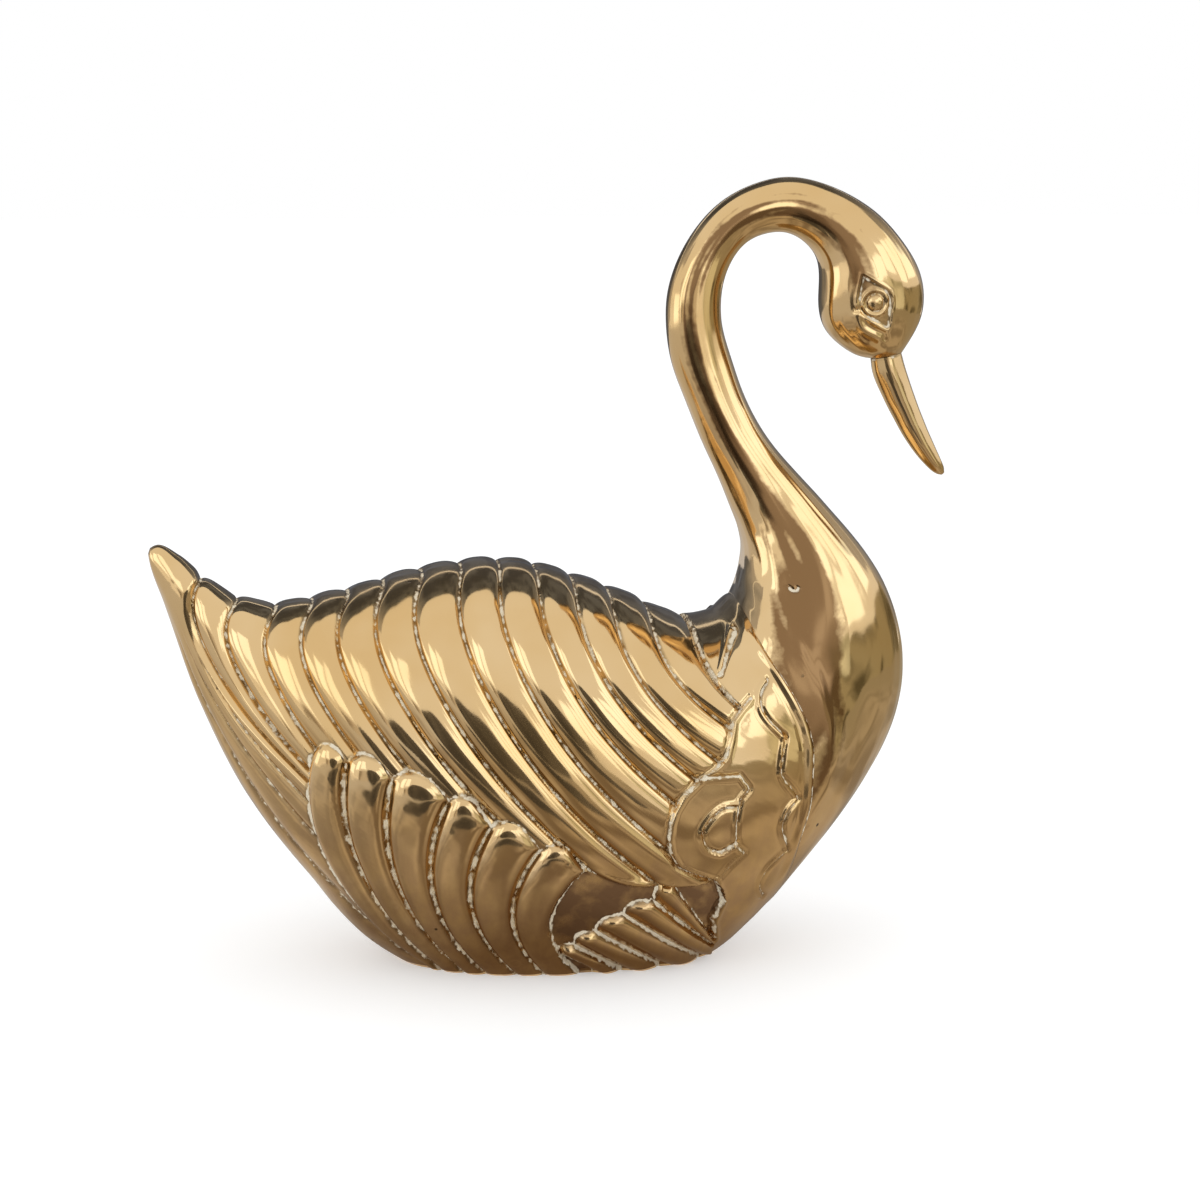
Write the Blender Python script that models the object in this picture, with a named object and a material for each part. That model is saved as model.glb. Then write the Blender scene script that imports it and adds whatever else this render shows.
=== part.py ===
"""Cast brass swan ornament: two hollow body halves, two hollow neck halves and a beak, brazed together.

The swan faces +X and stands on z = 0. The seam between its halves lies in the plane y = 0.
Sizes and outlines are in millimetres, and become metres where a mesh is made.
"""
import math

import bmesh
import bpy
import numpy as np
from mathutils import Matrix, Vector

MM = 0.001

# Overall sizes: from the tail tip to the end of the beak's centre line, and from the ground to the crown
LENGTH = 237.6
HEIGHT = 233.2

# Castings
WALL = 4.0
BRAZE_GAP = 0.3
TAIL_SOLID_LENGTH = 20.0
CAVITY_ROUNDING = 14.0

# Tail tip and the two ends of the joint between body and neck, seen from the side as (x, z)
TAIL_TIP = (-119.0, 124.5)
JOINT_TOP = (55.0, 108.5)
JOINT_FOOT = (63.5, 13.5)

# Body outlines seen from the side, as (x, z) from the tail to the neck
SPINE = (TAIL_TIP, (-118.3, 126.3), (-116, 127.2), (-110, 124), (-103, 117.8), (-93, 111.7), (-82, 109.3),
         (-66, 112), (-48, 116.6), (-30, 120.3), (-20, 121.2), (-10, 120.4), (5, 116.6), (24, 109.6),
         (35, 104.4), (42, 102.4), (49, 103.6), JOINT_TOP, (62, 110), (76, 108))
KEEL = (TAIL_TIP, (-118.4, 121), (-115, 110.6), (-106, 82.4), (-93.7, 54.8), (-84.7, 40.8), (-74.4, 27),
        (-67, 17.5), (-58, 7.8), (-50, 1.5), (-40, -4), (-20, -10), (0, -11.5), (20, -10), (40, -5),
        (49.5, 0), JOINT_FOOT, (76, 26))

# Greatest half-width of the body, then its share and the height at which it is widest, along x
BODY_HALF_WIDTH = 48.0
WIDTH_SHARE = ((TAIL_TIP[0], 0.0), (-118.3, 0.046), (-116, 0.088), (-105, 0.229), (-93, 0.375),
               (-74, 0.625), (-50, 0.844), (-29, 0.938), (4, 1.0), (31, 0.969), (61, 0.854), (76, 0.75))
WIDEST_HEIGHT = (TAIL_TIP, (-105, 103), (-93, 86), (-74, 72), (-50, 63), (-20, 60), (4, 59), (31, 57),
                 (61, 56), (76, 58))
UPPER_FULLNESS = 2.3
LOWER_FULLNESS = 2.0
TAIL_FADE = 6.0

# Joint between body and neck seen from the side, as (z, x) from the keel up to the back
JOINT = (JOINT_FOOT[::-1], (31, 68), (42, 70), (54, 72.6), (68, 73.2), (75, 72), (82, 69), (89, 65),
         (96, 60.5), (103, 57), JOINT_TOP[::-1])
JOINT_FADE = 4.0

# Wing flutes: each groove starts at a station on the spine, bows back, then sweeps forward
# Columns: station, backward bow, forward sweep per square of the depth below the spine
FLUTE_GROOVES = ((-103, 5.0, 0.0095), (-93, 5.0, 0.0095), (-82, 5.0, 0.0085), (-71.5, 5.0, 0.0085),
                 (-61, 5.0, 0.0080), (-50.5, 4.5, 0.0076), (-39, 4.5, 0.0068), (-27.5, 2.8, 0.0067),
                 (-16, 2.0, 0.0072), (-5, 0.7, 0.0090), (6, 0.5, 0.0112), (17, 0.5, 0.0140),
                 (28.5, 0.5, 0.0220), (41, 0.5, 0.0270))
FLUTE_BOW_DEPTH = 14.0
FLUTE_DEPTH_AT_SPINE = 1.2
FLUTE_DEPTH = 2.3
FLUTE_DEPTH_RUN = 14.0
FLUTE_POWER = 2.6
FLUTE_LIP = 1.5

# Long ribs under the tail, and the share of the tail's height up to which they run and over which they fade
TAIL_RIBS = 4
TAIL_RIB_DEPTH = 0.8
TAIL_RIB_TOP = 0.75
TAIL_RIB_FADE = 0.3

# Large feathers low on the flank: each boundary starts at its head, leans back, then curls forward
# Columns: x and z of the head, lean, curl per square of the depth below the head
LOBE_EDGES = ((-73, 70, 0.20, 0.0100), (-63, 69, 0.15, 0.0080), (-50, 65, 0.25, 0.0089),
              (-34, 59, 0.50, 0.0118), (-22, 51, 0.60, 0.0151), (-8, 44, 0.75, 0.0184), (5, 37, 1.00, 0.0270))
LOBE_HEAD_ROUND = 4.5
LOBE_HEAD_RAMP = 13.0
LOBE_RISE = 4.0
LOBE_RISE_AT_RIM = 1.4
LOBE_GROOVE = 0.8
LOBE_POWER = 2.0

# Small feathers at the front of the ground rim: each boundary runs forward and down from its head
# Columns: x and z of the head, downward slope
FEATHER_EDGES = ((-1, 7, 0.70), (3, 10.5, 0.72), (9, 15.5, 0.75), (17, 21, 0.80), (26, 25, 0.95),
                 (32, 30, 1.50))
FEATHER_HEAD_RAMP = 2.0
FEATHER_RISE = 2.6
FEATHER_CREST = 1.4
RECESS_DEPTH = 1.8
RECESS_EDGE = (LOBE_EDGES[-1][:2], (20, 31.5), (31, 30.5))

# Shoulder plate in front of the flutes: its rear and front edges, as (z, x)
SHIELD_REAR = ((9, 46), (17, 44.5), (24, 47), (31.5, 44), (34.5, 37), (37, 32.5), (41, 30), (46, 29),
               (51, 29.6), (55, 31), (59, 33.5), (63.5, 38.5), (66, 43), (69, 46), (74, 47.5), (79, 48.5),
               (82, 51), (85, 54))
SHIELD_FRONT = ((31.5, 44), (36, 47.5), (40, 52), (42.5, 49.3), (49, 49.2), (56, 50), (59.5, 53),
                (63.5, 50.2))
SHIELD_RISE = 0.8
PLATE_FADE = 3.0
EDGE_RAMP = 1.6

# Neck sections: the points on the back and front lines as x, z, x, z, then the half-width
NECK_SECTIONS = ((*JOINT_TOP, *JOINT_FOOT, 37), (56.2, 112, 76, 28, 36), (57, 115.5, 87, 41, 34),
                 (57.4, 119, 96.4, 54.5, 31), (57.4, 123, 103.4, 68, 28), (56.8, 127, 106.8, 84.5, 24.5),
                 (55.6, 131, 105, 101, 20.5), (54, 135, 97.8, 117.5, 17), (52, 140, 86.4, 132, 14),
                 (49, 147, 75, 144.5, 11.5), (44.6, 156.5, 65.1, 156, 9.8), (39.7, 168.5, 57.9, 168.5, 8.8),
                 (35.7, 179.5, 53.7, 180, 8.3), (34.1, 191, 50.6, 191, 8), (35.1, 202.5, 50.8, 201.5, 7.8),
                 (40.4, 215, 53.8, 209.5, 7.7), (50, 226, 58.5, 214.7, 7.7), (62, 232, 64.5, 217, 7.8),
                 (73, 233.2, 70, 217, 8), (85, 229.8, 75, 214.5, 9.3), (96, 223.4, 79, 209.5, 11.5),
                 (104.4, 214.7, 80, 203, 13.2), (110, 205, 79.9, 196.5, 13.8), (111.2, 196, 81, 190.5, 13.3),
                 (109.5, 189.5, 84.5, 185.5, 11.5), (107, 184.7, 90.5, 181.2, 8.5),
                 (105.1, 181.5, 95.7, 179.8, 4.8))
JOINT_BLEND_SECTIONS = 4
SEAT_TAPER_SECTIONS = 2

# Eye, cast as a dome in a ring
EYE_CENTRE = (94.0, 197.2)
EYE_RADIUS = 2.5
EYE_RISE = 1.3
EYE_RING_RADIUS = 4.6
EYE_RING_DEPTH = 0.7

# Beak: centre line from its seat to the tip, as x, z and radius, and the tenon behind the seat
BEAK_LINE = ((101.5, 176.0, 4.7), (103.9, 170.0, 4.4), (106.6, 164.0, 4.0), (109.6, 158.0, 3.6),
             (112.8, 152.5, 3.0), (115.9, 148.0, 2.2), (117.6, 145.9, 1.5), (118.6, 144.8, 0.6))
BEAK_SEAT_RADIUS = 4.5
TENON_RADIUS = 2.7
TENON_LENGTH = 5.0
SHOULDER_EDGE = 0.1

# Mesh fineness: points along and across each surface, and the facets kept in each half
BODY_GRID = (240, 120)
NECK_GRID = (170, 44)
CORE_GRID = (36, 12)
NECK_CORE_GRID = (72, 12)
BODY_FACETS = 4600
NECK_FACETS = 1900
SEAT_KEPT_RADIUS = 6.5
BEAK_SEGMENT_COUNT = 4
SHARP_ANGLE = 40.0
SETTLE_COUNT = 40
SLOPE_STEP = 0.5
TINY = 1e-6

BRASS = (0.62, 0.43, 0.17, 1.0)
BRASS_ROUGHNESS = 0.18


def smooth_line(points):
    """A curve through points with rising first values, which never overshoots between them."""
    xs, ys = np.array(points, float).T
    secants = np.diff(ys) / np.diff(xs)
    inner = np.where(secants[:-1] * secants[1:] > 0,
                     2 * secants[:-1] * secants[1:] / (secants[:-1] + secants[1:] + 1e-12), 0)
    slopes = np.concatenate(([secants[0]], inner, [secants[-1]]))

    def value(x):
        x = np.clip(x, xs[0], xs[-1])
        k = np.clip(np.searchsorted(xs, x) - 1, 0, len(xs) - 2)
        span = xs[k + 1] - xs[k]
        f = (x - xs[k]) / span
        near = ys[k] * (1 + 2 * f) + slopes[k] * span * f
        far = ys[k + 1] * (3 - 2 * f) - slopes[k + 1] * span * (1 - f)
        return near * (1 - f) ** 2 + far * f ** 2

    return value


def spline_columns(rows, at):
    """Values of a smooth curve through evenly spaced rows, whose bending changes without a jump."""
    rows = np.array(rows, float)
    count = len(rows)
    system = 4 * np.eye(count) + np.eye(count, k=1) + np.eye(count, k=-1)
    system[0, 0] = 2
    system[-1, -1] = 2
    pull = np.empty_like(rows)
    pull[1:-1] = 3 * (rows[2:] - rows[:-2])
    pull[0] = 3 * (rows[1] - rows[0])
    pull[-1] = 3 * (rows[-1] - rows[-2])
    slopes = np.linalg.solve(system, pull)
    k = np.clip(at.astype(int), 0, count - 2)
    f = (at - k)[:, None]
    near = rows[k] * (1 + 2 * f) + slopes[k] * f
    far = rows[k + 1] * (3 - 2 * f) - slopes[k + 1] * (1 - f)
    return (near * (1 - f) ** 2 + far * f ** 2).T


def placed(rows, *factors):
    """Rows of an outline, each column times its factor from the drawn size to the overall size."""
    return np.array(rows, float) * factors


# From the sizes that the outlines are drawn at to the overall sizes, along x and z
TO_X = LENGTH / (BEAK_LINE[-1][0] - TAIL_TIP[0])
TO_Z = HEIGHT / max(section[1] for section in NECK_SECTIONS)

spine = smooth_line(placed(SPINE, TO_X, TO_Z))
keel = smooth_line(placed(KEEL, TO_X, TO_Z))
width_share = smooth_line(placed(WIDTH_SHARE, TO_X, 1))
widest_height = smooth_line(placed(WIDEST_HEIGHT, TO_X, TO_Z))
joint = smooth_line(placed(JOINT, TO_Z, TO_X))
recess_edge = smooth_line(placed(RECESS_EDGE, TO_X, TO_Z))
shield_rear_points = placed(SHIELD_REAR, TO_Z, TO_X)
shield_front_points = placed(SHIELD_FRONT, TO_Z, TO_X)
shield_rear = smooth_line(shield_rear_points)
shield_front = smooth_line(shield_front_points)
flute_grooves = placed(FLUTE_GROOVES, TO_X, TO_X, TO_X / TO_Z ** 2)
lobe_edges = placed(LOBE_EDGES, TO_X, TO_Z, TO_X / TO_Z, TO_X / TO_Z ** 2)
feather_edges = placed(FEATHER_EDGES, TO_X, TO_Z, TO_Z / TO_X)
neck_sections = placed(NECK_SECTIONS, TO_X, TO_Z, TO_X, TO_Z, 1)
beak_line = placed(BEAK_LINE, TO_X, TO_Z, 1)
eye_x, eye_z = placed(EYE_CENTRE, TO_X, TO_Z)
tail_x, foot_x = placed((TAIL_TIP[0], JOINT_FOOT[0]), TO_X)
cavity_x = tail_x + TAIL_SOLID_LENGTH


def slope_factor(line, x):
    """How much longer a vertical cut through a sloping wall is than the wall itself."""
    slope = (line(x + SLOPE_STEP) - line(x - SLOPE_STEP)) / (2 * SLOPE_STEP)
    return np.sqrt(1 + slope ** 2)


def ramp(distance, run):
    """Rises smoothly from 0 to 1 over a run."""
    f = np.clip(distance / run, 0, 1)
    return f * f * (3 - 2 * f)


def arch(fraction, power):
    """Height across a rib, 0 at its grooves and 1 on its crest."""
    return 1 - np.abs(2 * np.clip(fraction, 0, 1) - 1) ** power


def groove_x(groove, z):
    station, bow, sweep = groove
    depth = np.maximum(spine(station) - z, 0)
    lean = bow * depth / FLUTE_BOW_DEPTH * np.exp(1 - depth / FLUTE_BOW_DEPTH)
    return station - lean + sweep * depth ** 2


def lobe_edge_x(edge, z):
    x, head, lean, curl = edge
    depth = np.maximum(head - z, 0)
    return x - lean * depth + curl * depth ** 2


def across(lines, x):
    """Which gap between ordered lines x falls in, and how far across it."""
    lines = np.array(lines)
    gap = np.clip((lines <= x).sum(axis=0) - 1, 0, len(lines) - 2)
    low = np.take_along_axis(lines, gap[None], 0)[0]
    high = np.take_along_axis(lines, gap[None] + 1, 0)[0]
    return gap, np.clip((x - low) / np.maximum(high - low, TINY), 0, 1)


def flute_relief(x, z):
    """Depth below the crests of the wing flutes, and of the long ribs under the tail."""
    grooves = [groove_x(groove, z) for groove in flute_grooves]
    _, fraction = across(grooves, x)
    below = np.clip((spine(x) - z) / FLUTE_DEPTH_RUN, 0, 1)
    depth = FLUTE_DEPTH_AT_SPINE + (FLUTE_DEPTH - FLUTE_DEPTH_AT_SPINE) * below
    inside = (x > grooves[0]) & (x < grooves[-1])
    flutes = np.where(inside, -depth * (1 - arch(fraction, FLUTE_POWER)), 0)
    behind = np.clip((x - tail_x) / (grooves[0] - tail_x + TINY), 0, 1)
    under = np.clip((z - keel(x)) / np.maximum(spine(x) - keel(x), TINY), 0, 1)
    ribs = -TAIL_RIB_DEPTH * (1 - arch((behind * TAIL_RIBS) % 1, FLUTE_POWER))
    ribs *= ramp(TAIL_RIB_TOP - under, TAIL_RIB_FADE)
    lip = -depth * np.exp(-((grooves[0] - x) / FLUTE_LIP) ** 2)
    return np.where(x <= grooves[0], np.minimum(ribs, lip), flutes)


def lobe_relief(x, z):
    """Rise of the six large feathers, and how far inside them a point is."""
    edges = [lobe_edge_x(edge, z) for edge in lobe_edges]
    gap, fraction = across(edges, x)
    heads = lobe_edges[:, 1]
    crown = heads[gap] + (heads[gap + 1] - heads[gap]) * fraction
    crown += LOBE_HEAD_ROUND * arch(fraction, LOBE_POWER)
    below = crown - z
    inside = ramp(below, EDGE_RAMP) * ramp(x - edges[0], EDGE_RAMP) * ramp(edges[-1] - x, EDGE_RAMP)
    rise = LOBE_RISE + (LOBE_RISE_AT_RIM - LOBE_RISE) * np.clip(below / np.maximum(crown, 1), 0, 1)
    bulge = np.sqrt(np.clip(below / LOBE_HEAD_RAMP, 0, 1))
    return rise * bulge * arch(fraction, LOBE_POWER) - LOBE_GROOVE, inside


def feather_relief(x, z):
    """Rise of the small feathers at the front of the rim, and how far inside them a point is."""
    edges = [head - slope * (x - start) for start, head, slope in feather_edges]
    gap, fraction = across(edges, z)
    starts = feather_edges[:, 0]
    head_x = starts[gap] + (starts[gap + 1] - starts[gap]) * fraction
    head_x -= FEATHER_HEAD_RAMP * arch(fraction, LOBE_POWER)
    top = feather_edges[-1, 1]
    inside = ramp(x - head_x, EDGE_RAMP) * (z > edges[0]) * (z < edges[-1]) * (z < top)
    bulge = np.sqrt(np.clip((x - head_x) / FEATHER_HEAD_RAMP, 0, 1))
    return FEATHER_RISE * bulge * arch(fraction ** FEATHER_CREST, LOBE_POWER) - RECESS_DEPTH, inside


def wing_relief(x, z):
    """Height of the wing's feathers over the smooth body skin, at a point seen from the side."""
    relief = flute_relief(x, z)
    recess = ramp(recess_edge(x) - z, EDGE_RAMP)
    recess *= (x > lobe_edge_x(lobe_edges[-1], z)) * (z < lobe_edges[-1, 1])
    relief = relief * (1 - recess) - RECESS_DEPTH * recess
    lobes, inside = lobe_relief(x, z)
    relief = relief * (1 - inside) + lobes * inside
    feathers, inside = feather_relief(x, z)
    relief = relief * (1 - inside) + feathers * inside
    plate = ramp(x - shield_rear(z), EDGE_RAMP)
    plate *= ramp(shield_rear_points[-1, 0] + PLATE_FADE - z, PLATE_FADE)
    raised = plate * ramp(shield_front(z) - x, EDGE_RAMP)
    low, high = shield_front_points[0, 0], shield_front_points[-1, 0]
    raised *= ramp(z - low, EDGE_RAMP) * ramp(high - z, EDGE_RAMP)
    return relief * (1 - plate) + SHIELD_RISE * raised


def body_section(x, s, inset):
    """Point at share s of the way round a body section, from the spine to the rim or keel."""
    top = spine(x) - inset * slope_factor(spine, x)
    bottom = keel(x) + inset * slope_factor(keel, x)
    middle = np.clip(widest_height(x), bottom, top)
    width = BODY_HALF_WIDTH * width_share(x) - inset
    if inset:
        into = np.clip((x - cavity_x) / CAVITY_ROUNDING, 0, 1)
        shrink = np.sqrt(1 - (1 - into) ** 2)
        top, bottom = middle + (top - middle) * shrink, middle + (bottom - middle) * shrink
        width = width * shrink
    rim = np.clip(middle / np.maximum(middle - bottom, TINY), 0, 1) ** (LOWER_FULLNESS / 2)
    angle = np.arccos(-rim) * s
    up = np.clip(np.cos(angle), 0, 1) ** (2 / UPPER_FULLNESS)
    down = np.clip(-np.cos(angle), 0, 1) ** (2 / LOWER_FULLNESS)
    fullness = np.where(np.cos(angle) > 0, UPPER_FULLNESS, LOWER_FULLNESS)
    y = width * np.clip(np.sin(angle), 0, 1) ** (2 / fullness)
    return y, middle + (top - middle) * up - (middle - bottom) * down


def body_surface(counts, inset, rear):
    """Grid of points over one body half, from the tail or cavity end to the neck joint."""
    u, s = np.meshgrid(np.linspace(0, 1, counts[0]), np.linspace(0, 1, counts[1]), indexing="ij")
    x = rear + (foot_x - rear) * u
    for _ in range(SETTLE_COUNT):
        y, z = body_section(x, s, inset)
        x = rear + (joint(z) - rear) * u
    return np.stack((x, y + BRAZE_GAP / 2, z), axis=-1)


def grid_normals(points):
    along = np.gradient(points, axis=0)
    around = np.gradient(points, axis=1)
    normals = np.cross(along, around)
    normals /= np.linalg.norm(normals, axis=-1, keepdims=True) + TINY
    return normals * np.sign(np.sum(normals[..., 1]))


def keep_in_half(points):
    """Holds a displaced surface on its own side of the seam and above the ground."""
    points[:, 0, 1] = BRAZE_GAP / 2
    points[..., 1] = np.maximum(points[..., 1], BRAZE_GAP / 2)
    points[..., 2] = np.maximum(points[..., 2], 0)
    return points


def body_skin():
    skin = body_surface(BODY_GRID, 0.0, tail_x)
    x = skin[..., 0]
    z = skin[..., 2]
    on_seam = skin[:, -1, 1] <= BRAZE_GAP / 2 + TINY
    relief = wing_relief(x, z) * ramp(joint(z) - x, JOINT_FADE) * ramp(x - tail_x, TAIL_FADE)
    normals = grid_normals(skin)
    normals[:, 0, 1] = 0
    skin = keep_in_half(skin + normals * relief[..., None])
    skin[on_seam, -1, 1] = BRAZE_GAP / 2
    skin[~on_seam, -1, 2] = 0
    skin[0] = skin[0].mean(axis=0)
    return skin


def neck_surface(counts, inset, rim):
    """Grid of points over one neck half, from the body joint round the crook to the beak's seat."""
    last = len(neck_sections) - 1
    station = np.linspace(0, last, counts[0])
    back_x, back_z, front_x, front_z, width = spline_columns(neck_sections, station)
    centre = np.stack(((back_x + front_x) / 2, 0 * station, (back_z + front_z) / 2), axis=-1)
    reach = np.stack(((back_x - front_x) / 2, 0 * station, (back_z - front_z) / 2), axis=-1)
    length = np.linalg.norm(reach, axis=-1)
    if inset:
        seat_wall = length[-1] - TENON_RADIUS - BRAZE_GAP
        to_seat = ramp(station - last + SEAT_TAPER_SECTIONS, SEAT_TAPER_SECTIONS)
        wall = inset + (seat_wall - inset) * to_seat
        reach *= ((length - wall) / length)[:, None]
        width = width - wall
    angle = np.linspace(0, math.pi, counts[1])
    rings = centre[:, None] + reach[:, None] * np.cos(angle)[None, :, None]
    rings[..., 1] = width[:, None] * np.sin(angle)[None] + BRAZE_GAP / 2
    blend = 1 - ramp(station, JOINT_BLEND_SECTIONS)
    rings += blend[:, None, None] * (rim - rings[0])[None]
    rings[:, (0, -1), 1] = BRAZE_GAP / 2
    return rings


def joint_rim(count, inset):
    """The body's edge at the neck joint, moved forward by the braze gap."""
    rear = cavity_x if inset else tail_x
    rim = body_surface((2, count), inset, rear)[-1]
    return rim + np.array((BRAZE_GAP, 0, 0))


def neck_skin():
    skin = neck_surface(NECK_GRID, 0.0, joint_rim(NECK_GRID[1], 0.0))
    from_eye = np.hypot(skin[..., 0] - eye_x, skin[..., 2] - eye_z)
    dome = np.sqrt(np.clip(1 - (from_eye / EYE_RADIUS) ** 2, 0, 1)) * EYE_RISE
    ring = -EYE_RING_DEPTH * (1 - ramp(np.abs(from_eye - EYE_RADIUS), EYE_RING_RADIUS - EYE_RADIUS))
    relief = np.where(from_eye < EYE_RADIUS, dome - EYE_RING_DEPTH, ring)
    relief *= from_eye < EYE_RING_RADIUS
    return skin + grid_normals(skin) * relief[..., None]


def zip_rows(bm, row, other, keys, other_keys):
    """Fills between two rows of vertices, which are matched by their keys."""
    i, j = 0, 0
    while i < len(row) - 1 or j < len(other) - 1:
        last = j == len(other) - 1
        if last or (i < len(row) - 1 and keys[i + 1] <= other_keys[j + 1]):
            bm.faces.new((row[i], row[i + 1], other[j]))
            i += 1
        else:
            bm.faces.new((row[i], other[j + 1], other[j]))
            j += 1


def add_grid(bm, points):
    verts = [[bm.verts.new(Vector(p) * MM) for p in line] for line in points]
    for a, b in zip(verts, verts[1:]):
        for k in range(len(a) - 1):
            bm.faces.new((a[k], b[k], b[k + 1], a[k + 1]))
    return verts


def shell_mesh(name, skin, core, closed_rear):
    """A closed wall between an outer skin and the surface of the hollow inside it."""
    bm = bmesh.new()
    outer = add_grid(bm, skin)
    inner = add_grid(bm, core)
    along = np.linspace(0, 1, len(skin))
    along_core = np.linspace(0, 1, len(core))
    if closed_rear:
        along = skin[:, 0, 0]
        along_core = core[:, 0, 0]
    for side in (0, -1):
        zip_rows(bm, [line[side] for line in outer], [line[side] for line in inner], along, along_core)
    around, around_core = (np.linspace(0, 1, len(points[0])) for points in (skin, core))
    for end in (-1,) if closed_rear else (0, -1):
        zip_rows(bm, outer[end], inner[end], around, around_core)
    bmesh.ops.remove_doubles(bm, verts=bm.verts, dist=TINY)
    bmesh.ops.dissolve_degenerate(bm, edges=bm.edges, dist=TINY)
    bmesh.ops.recalc_face_normals(bm, faces=bm.faces)
    mesh = bpy.data.meshes.new(name)
    bm.to_mesh(mesh)
    bm.free()
    return mesh


def reduce_facets(mesh, facets, kept_end=None):
    """Collapses a fine mesh to about a number of facets, and flattens its seam and ground faces again.

    Points near the kept end stay as they are, so that what seats there fits.
    """
    holder = bpy.data.objects.new("reduce", mesh)
    bpy.context.scene.collection.objects.link(holder)
    mesh.calc_loop_triangles()
    decimate = holder.modifiers.new("reduce", "DECIMATE")
    decimate.ratio = facets / len(mesh.loop_triangles)
    decimate.use_collapse_triangulate = True
    if kept_end is not None:
        group = holder.vertex_groups.new(name="free")
        free = [v.index for v in mesh.vertices if (v.co / MM - kept_end).length > SEAT_KEPT_RADIUS]
        group.add(free, 1.0, "REPLACE")
        decimate.vertex_group = group.name
    graph = bpy.context.evaluated_depsgraph_get()
    reduced = bpy.data.meshes.new_from_object(holder.evaluated_get(graph))
    bpy.data.objects.remove(holder)
    bm = bmesh.new()
    bm.from_mesh(reduced)
    for vert in bm.verts:
        if abs(vert.co.y / MM - BRAZE_GAP / 2) < BRAZE_GAP / 2:
            vert.co.y = BRAZE_GAP / 2 * MM
        if vert.co.z / MM < BRAZE_GAP / 2:
            vert.co.z = 0
    bmesh.ops.dissolve_degenerate(bm, edges=bm.edges, dist=TINY)
    bmesh.ops.triangulate(bm, faces=bm.faces)
    bmesh.ops.recalc_face_normals(bm, faces=bm.faces)
    bm.to_mesh(reduced)
    bm.free()
    return reduced


def brass():
    material = bpy.data.materials.new("polished_brass")
    material.use_nodes = True
    shader = material.node_tree.nodes["Principled BSDF"]
    shader.inputs["Base Color"].default_value = BRASS
    shader.inputs["Metallic"].default_value = 1.0
    shader.inputs["Roughness"].default_value = BRASS_ROUGHNESS
    return material


def add_part(name, mesh, collection, material):
    mesh.name = name
    mesh.materials.clear()
    mesh.materials.append(material)
    mesh.shade_smooth()
    mesh.set_sharp_from_angle(angle=math.radians(SHARP_ANGLE))
    part = bpy.data.objects.new(name, mesh)
    collection.objects.link(part)
    return part


def add_halves(name, mesh, collection, material):
    """The left half as built, at +y, and the right half as its mirror image."""
    mirrored = mesh.copy()
    mirrored.transform(Matrix.Scale(-1, 4, Vector((0, 1, 0))))
    mirrored.flip_normals()
    add_part(name + "_left_half", mesh, collection, material)
    add_part(name + "_right_half", mirrored, collection, material)


def beak_seat():
    """Centre of the beak's seat on the face, and the direction in which the beak leaves it."""
    back_x, back_z, front_x, front_z, _ = neck_sections[-1]
    centre = Vector(((back_x + front_x) / 2, 0, (back_z + front_z) / 2))
    away = Vector((back_z - front_z, 0, front_x - back_x)).normalized()
    return centre, away


def beak_mesh():
    """A tapered spike on a curved line, with a shoulder that seats on the face and a tenon behind it."""
    seat, away = beak_seat()
    tenon_end = seat - away * TENON_LENGTH
    shoulder = seat + away * BRAZE_GAP
    brow = shoulder + away * SHOULDER_EDGE
    rows = [(tenon_end.x, tenon_end.z, TENON_RADIUS), (shoulder.x, shoulder.z, TENON_RADIUS)]
    rows += [(brow.x, brow.z, BEAK_SEAT_RADIUS), *beak_line]
    curve = bpy.data.curves.new("beak", "CURVE")
    curve.dimensions = "3D"
    curve.bevel_depth = MM
    curve.bevel_resolution = BEAK_SEGMENT_COUNT
    curve.use_fill_caps = True
    spline = curve.splines.new("POLY")
    spline.points.add(len(rows) - 1)
    for point, (x, z, radius) in zip(spline.points, rows):
        point.co = (x * MM, 0, z * MM, 1)
        point.radius = radius
    holder = bpy.data.objects.new("beak_line", curve)
    bpy.context.scene.collection.objects.link(holder)
    graph = bpy.context.evaluated_depsgraph_get()
    mesh = bpy.data.meshes.new_from_object(holder.evaluated_get(graph))
    bpy.data.objects.remove(holder)
    bm = bmesh.new()
    bm.from_mesh(mesh)
    bmesh.ops.remove_doubles(bm, verts=bm.verts, dist=TINY)
    bmesh.ops.recalc_face_normals(bm, faces=bm.faces)
    bm.to_mesh(mesh)
    bm.free()
    return mesh


def main():
    for old in list(bpy.data.objects):
        bpy.data.objects.remove(old)
    swan = bpy.data.collections.new("brass_swan")
    bpy.context.scene.collection.children.link(swan)
    material = brass()

    core = body_surface(CORE_GRID, WALL, cavity_x)
    core[0] = core[0].mean(axis=0)
    body = shell_mesh("body", body_skin(), core, closed_rear=True)
    add_halves("body", reduce_facets(body, BODY_FACETS), swan, material)

    core = neck_surface(NECK_CORE_GRID, WALL, joint_rim(NECK_CORE_GRID[1], WALL))
    neck = shell_mesh("neck", neck_skin(), core, closed_rear=False)
    add_halves("neck", reduce_facets(neck, NECK_FACETS, beak_seat()[0]), swan, material)

    add_part("beak", beak_mesh(), swan, material)


main()
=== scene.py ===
"""Cast brass swan ornament: its finished surfaces, a plain studio and the camera.

The swan faces +X and stands on z = 0. Outlines are in millimetres, and become metres where a mesh is made.
The place of a bead, a cut or a line of residue is its setback from an edge, and its width.
"""
import math

import bmesh
import bpy
import numpy as np
from mathutils import Matrix, Vector


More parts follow.
